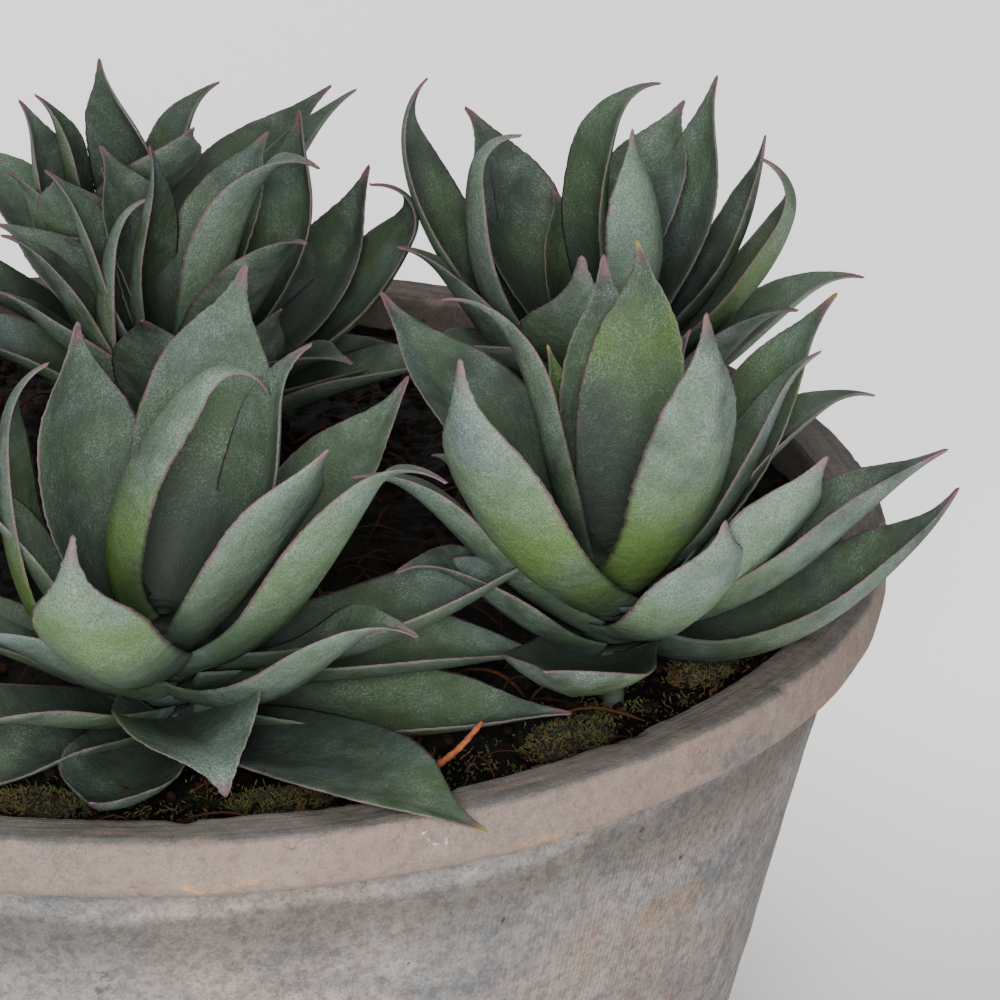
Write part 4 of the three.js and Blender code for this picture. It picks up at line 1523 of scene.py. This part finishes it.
@dataclass
class DryBit:
    """A fallen twig or a dry stalk that lies on the mix."""

    name: str
    start: tuple[float, float]
    end: tuple[float, float]
    lift: float
    radius: float
    level: float
    finish: DryTwig
    knots: float = 0.25

    def build(self) -> None:
        """Builds it, slightly crooked and knotted, in place of its CAD node."""
        rows = 40
        share = np.linspace(0, 1, rows)
        low = np.array([*self.start, self.level])
        high = np.array([*self.end, self.level + self.lift])
        path = low + share[:, None] * (high - low)
        run = high - low
        side = np.cross(run, [0, 0, 1.0])
        side /= np.linalg.norm(side)
        length = np.linalg.norm(run)
        bow = np.sin(math.pi * share) * 0.05 * length + np.sin(share * 9 + length) * 0.25
        path += side * (bow - bow[0] * (1 - share) - bow[-1] * share)[:, None]
        radii = self.radius * (1 - 0.3 * share) * (1 + self.knots * np.sin(share * 23) ** 8)
        points, faces, along = tube(path, radii, 10)
        skin = Skin()
        skin.add(points, faces, along=along)
        skin.piece(self.name, self.finish.material(), [self.name])


@dataclass
class Studio:
    """Camera, pale floor and soft lights."""

    camera_place: tuple[float, float, float] = (0.0, -1.2877, 0.7493)
    yaw: float = 3.9
    pitch: float = -22.95
    lens: float = 190.3
    sensor: float = 36.0
    floor_half: float = 12.0
    aim: tuple[float, float, float] = (0.03, 0.0, 0.22)
    ambient: float = 0.11

    def camera(self) -> None:
        """Places the camera as it stood for the photograph."""
        data = bpy.data.cameras.new("camera")
        data.lens = self.lens
        data.sensor_width = self.sensor
        made = bpy.data.objects.new("camera", data)
        made.location = self.camera_place
        yaw, pitch = math.radians(self.yaw), math.radians(self.pitch)
        look = Vector((math.sin(yaw) * math.cos(pitch), math.cos(yaw) * math.cos(pitch), math.sin(pitch)))
        made.rotation_euler = look.to_track_quat("-Z", "Y").to_euler()
        bpy.context.scene.collection.objects.link(made)
        bpy.context.scene.camera = made

    def light(self, name: str, place: tuple[float, float, float], size: float, power: float) -> None:
        """Adds a soft square light that shines at the plant.

        Args:
            name: The light's name.
            place: Its position in metres.
            size: Its side in metres.
            power: Its power in watts.
        """
        data = bpy.data.lights.new(name, "AREA")
        data.size = size
        data.energy = power
        made = bpy.data.objects.new(name, data)
        made.location = place
        made.rotation_euler = (Vector(self.aim) - Vector(place)).to_track_quat("-Z", "Y").to_euler()
        bpy.context.scene.collection.objects.link(made)

    def build(self) -> None:
        """Builds the studio."""
        self.camera()
        mesh = bpy.data.meshes.new("floor")
        wide = self.floor_half
        corners = [(-wide, -wide, 0), (wide, -wide, 0), (wide, wide, 0), (-wide, wide, 0)]
        mesh.from_pydata(corners, [], [(0, 1, 2, 3)])
        mesh.materials.append(PaleFloor().material())
        floor = bpy.data.objects.new("floor", mesh)
        bpy.context.scene.collection.objects.link(floor)
        self.light("key_light", (-0.15, -1.85, 0.95), 0.7, 52.0)
        self.light("fill_light", (1.5, -1.5, 0.9), 1.2, 11.0)
        self.light("top_light", (-0.1, 0.1, 1.9), 0.8, 9.0)
        self.light("back_light", (-0.5, 2.1, 1.1), 1.4, 16.0)
        world = bpy.data.worlds.new("studio")
        world.use_nodes = True
        background = world.node_tree.nodes["Background"]
        background.inputs["Color"].default_value = (1.0, 1.0, 1.0, 1.0)
        background.inputs["Strength"].default_value = self.ambient
        bpy.context.scene.world = world


def main() -> None:
    """Builds the potted houseleek and its studio, in order."""
    logging.basicConfig(level=logging.INFO, format="%(name)s: %(message)s")
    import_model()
    Studio().build()
    ClayPot().build(AgedClay().material())
    soil = SoilBed()
    soil.build(GrowingMix().material())
    moss = MossSkin().material()
    patches = (
        (96, -123, 15, 9, 3.4, 45), (133, -84, 12, 8, 3.0, 60),
        (-32, -150, 16, 8, 3.0, -12), (24, -153, 13, 7, 2.6, 8),
    )
    for place, (x, y, long, broad, high, turn) in enumerate(patches):
        ground = soil.height(x, y) + 0.3
        MossCushion(f"moss_{place + 1}", x, y, long, broad, high, turn, ground, 60 + place).build(moss)
    StrayMoss().build(moss, soil)
    amber = DryTwig("dry_amber", paint("b5653a"), paint("6e3418"))
    brown = DryTwig("dry_brown", paint("7a4c30"), paint("3a2216"))
    twigs = (
        ("twig_amber", (58, -146), (74, -139), 12.0, 0.9, amber),
        ("twig_brown", (86, -140), (106, -133), 1.0, 0.8, brown),
        ("stalk_dry", (137, -94), (133, -106), 3.0, 0.6, brown),
        ("needle_pine", (40, -157), (62, -151), 0.6, 0.5, amber),
    )
    for name, start, end, lift, radius, finish in twigs:
        level = soil.height(*start) + radius + 0.55
        DryBit(name, start, end, lift, radius, level, finish).build()
    leaf = LeafSkin().material()
    stem = StemSkin().material()
    planting = (
        ("rosette_a", -2, -120, 195, LEAVES_A), ("rosette_b", 109, -102, 206, LEAVES_B),
        ("rosette_c", 118, 62, 200, LEAVES_C), ("rosette_d", 5, 55, 200, LEAVES_D),
        ("rosette_e", -15, 128, 200, LEAVES_E), ("rosette_f", -115, 50, 200, LEAVES_F),
        ("rosette_g", -125, -62, 200, LEAVES_G),
    )
    for seed, (name, x, y, z, whorls) in enumerate(planting):
        Rosette(name, x, y, z, soil.height(x, y), whorls).build(leaf, stem, seed + 1)


if __name__ == "__main__":
    main()
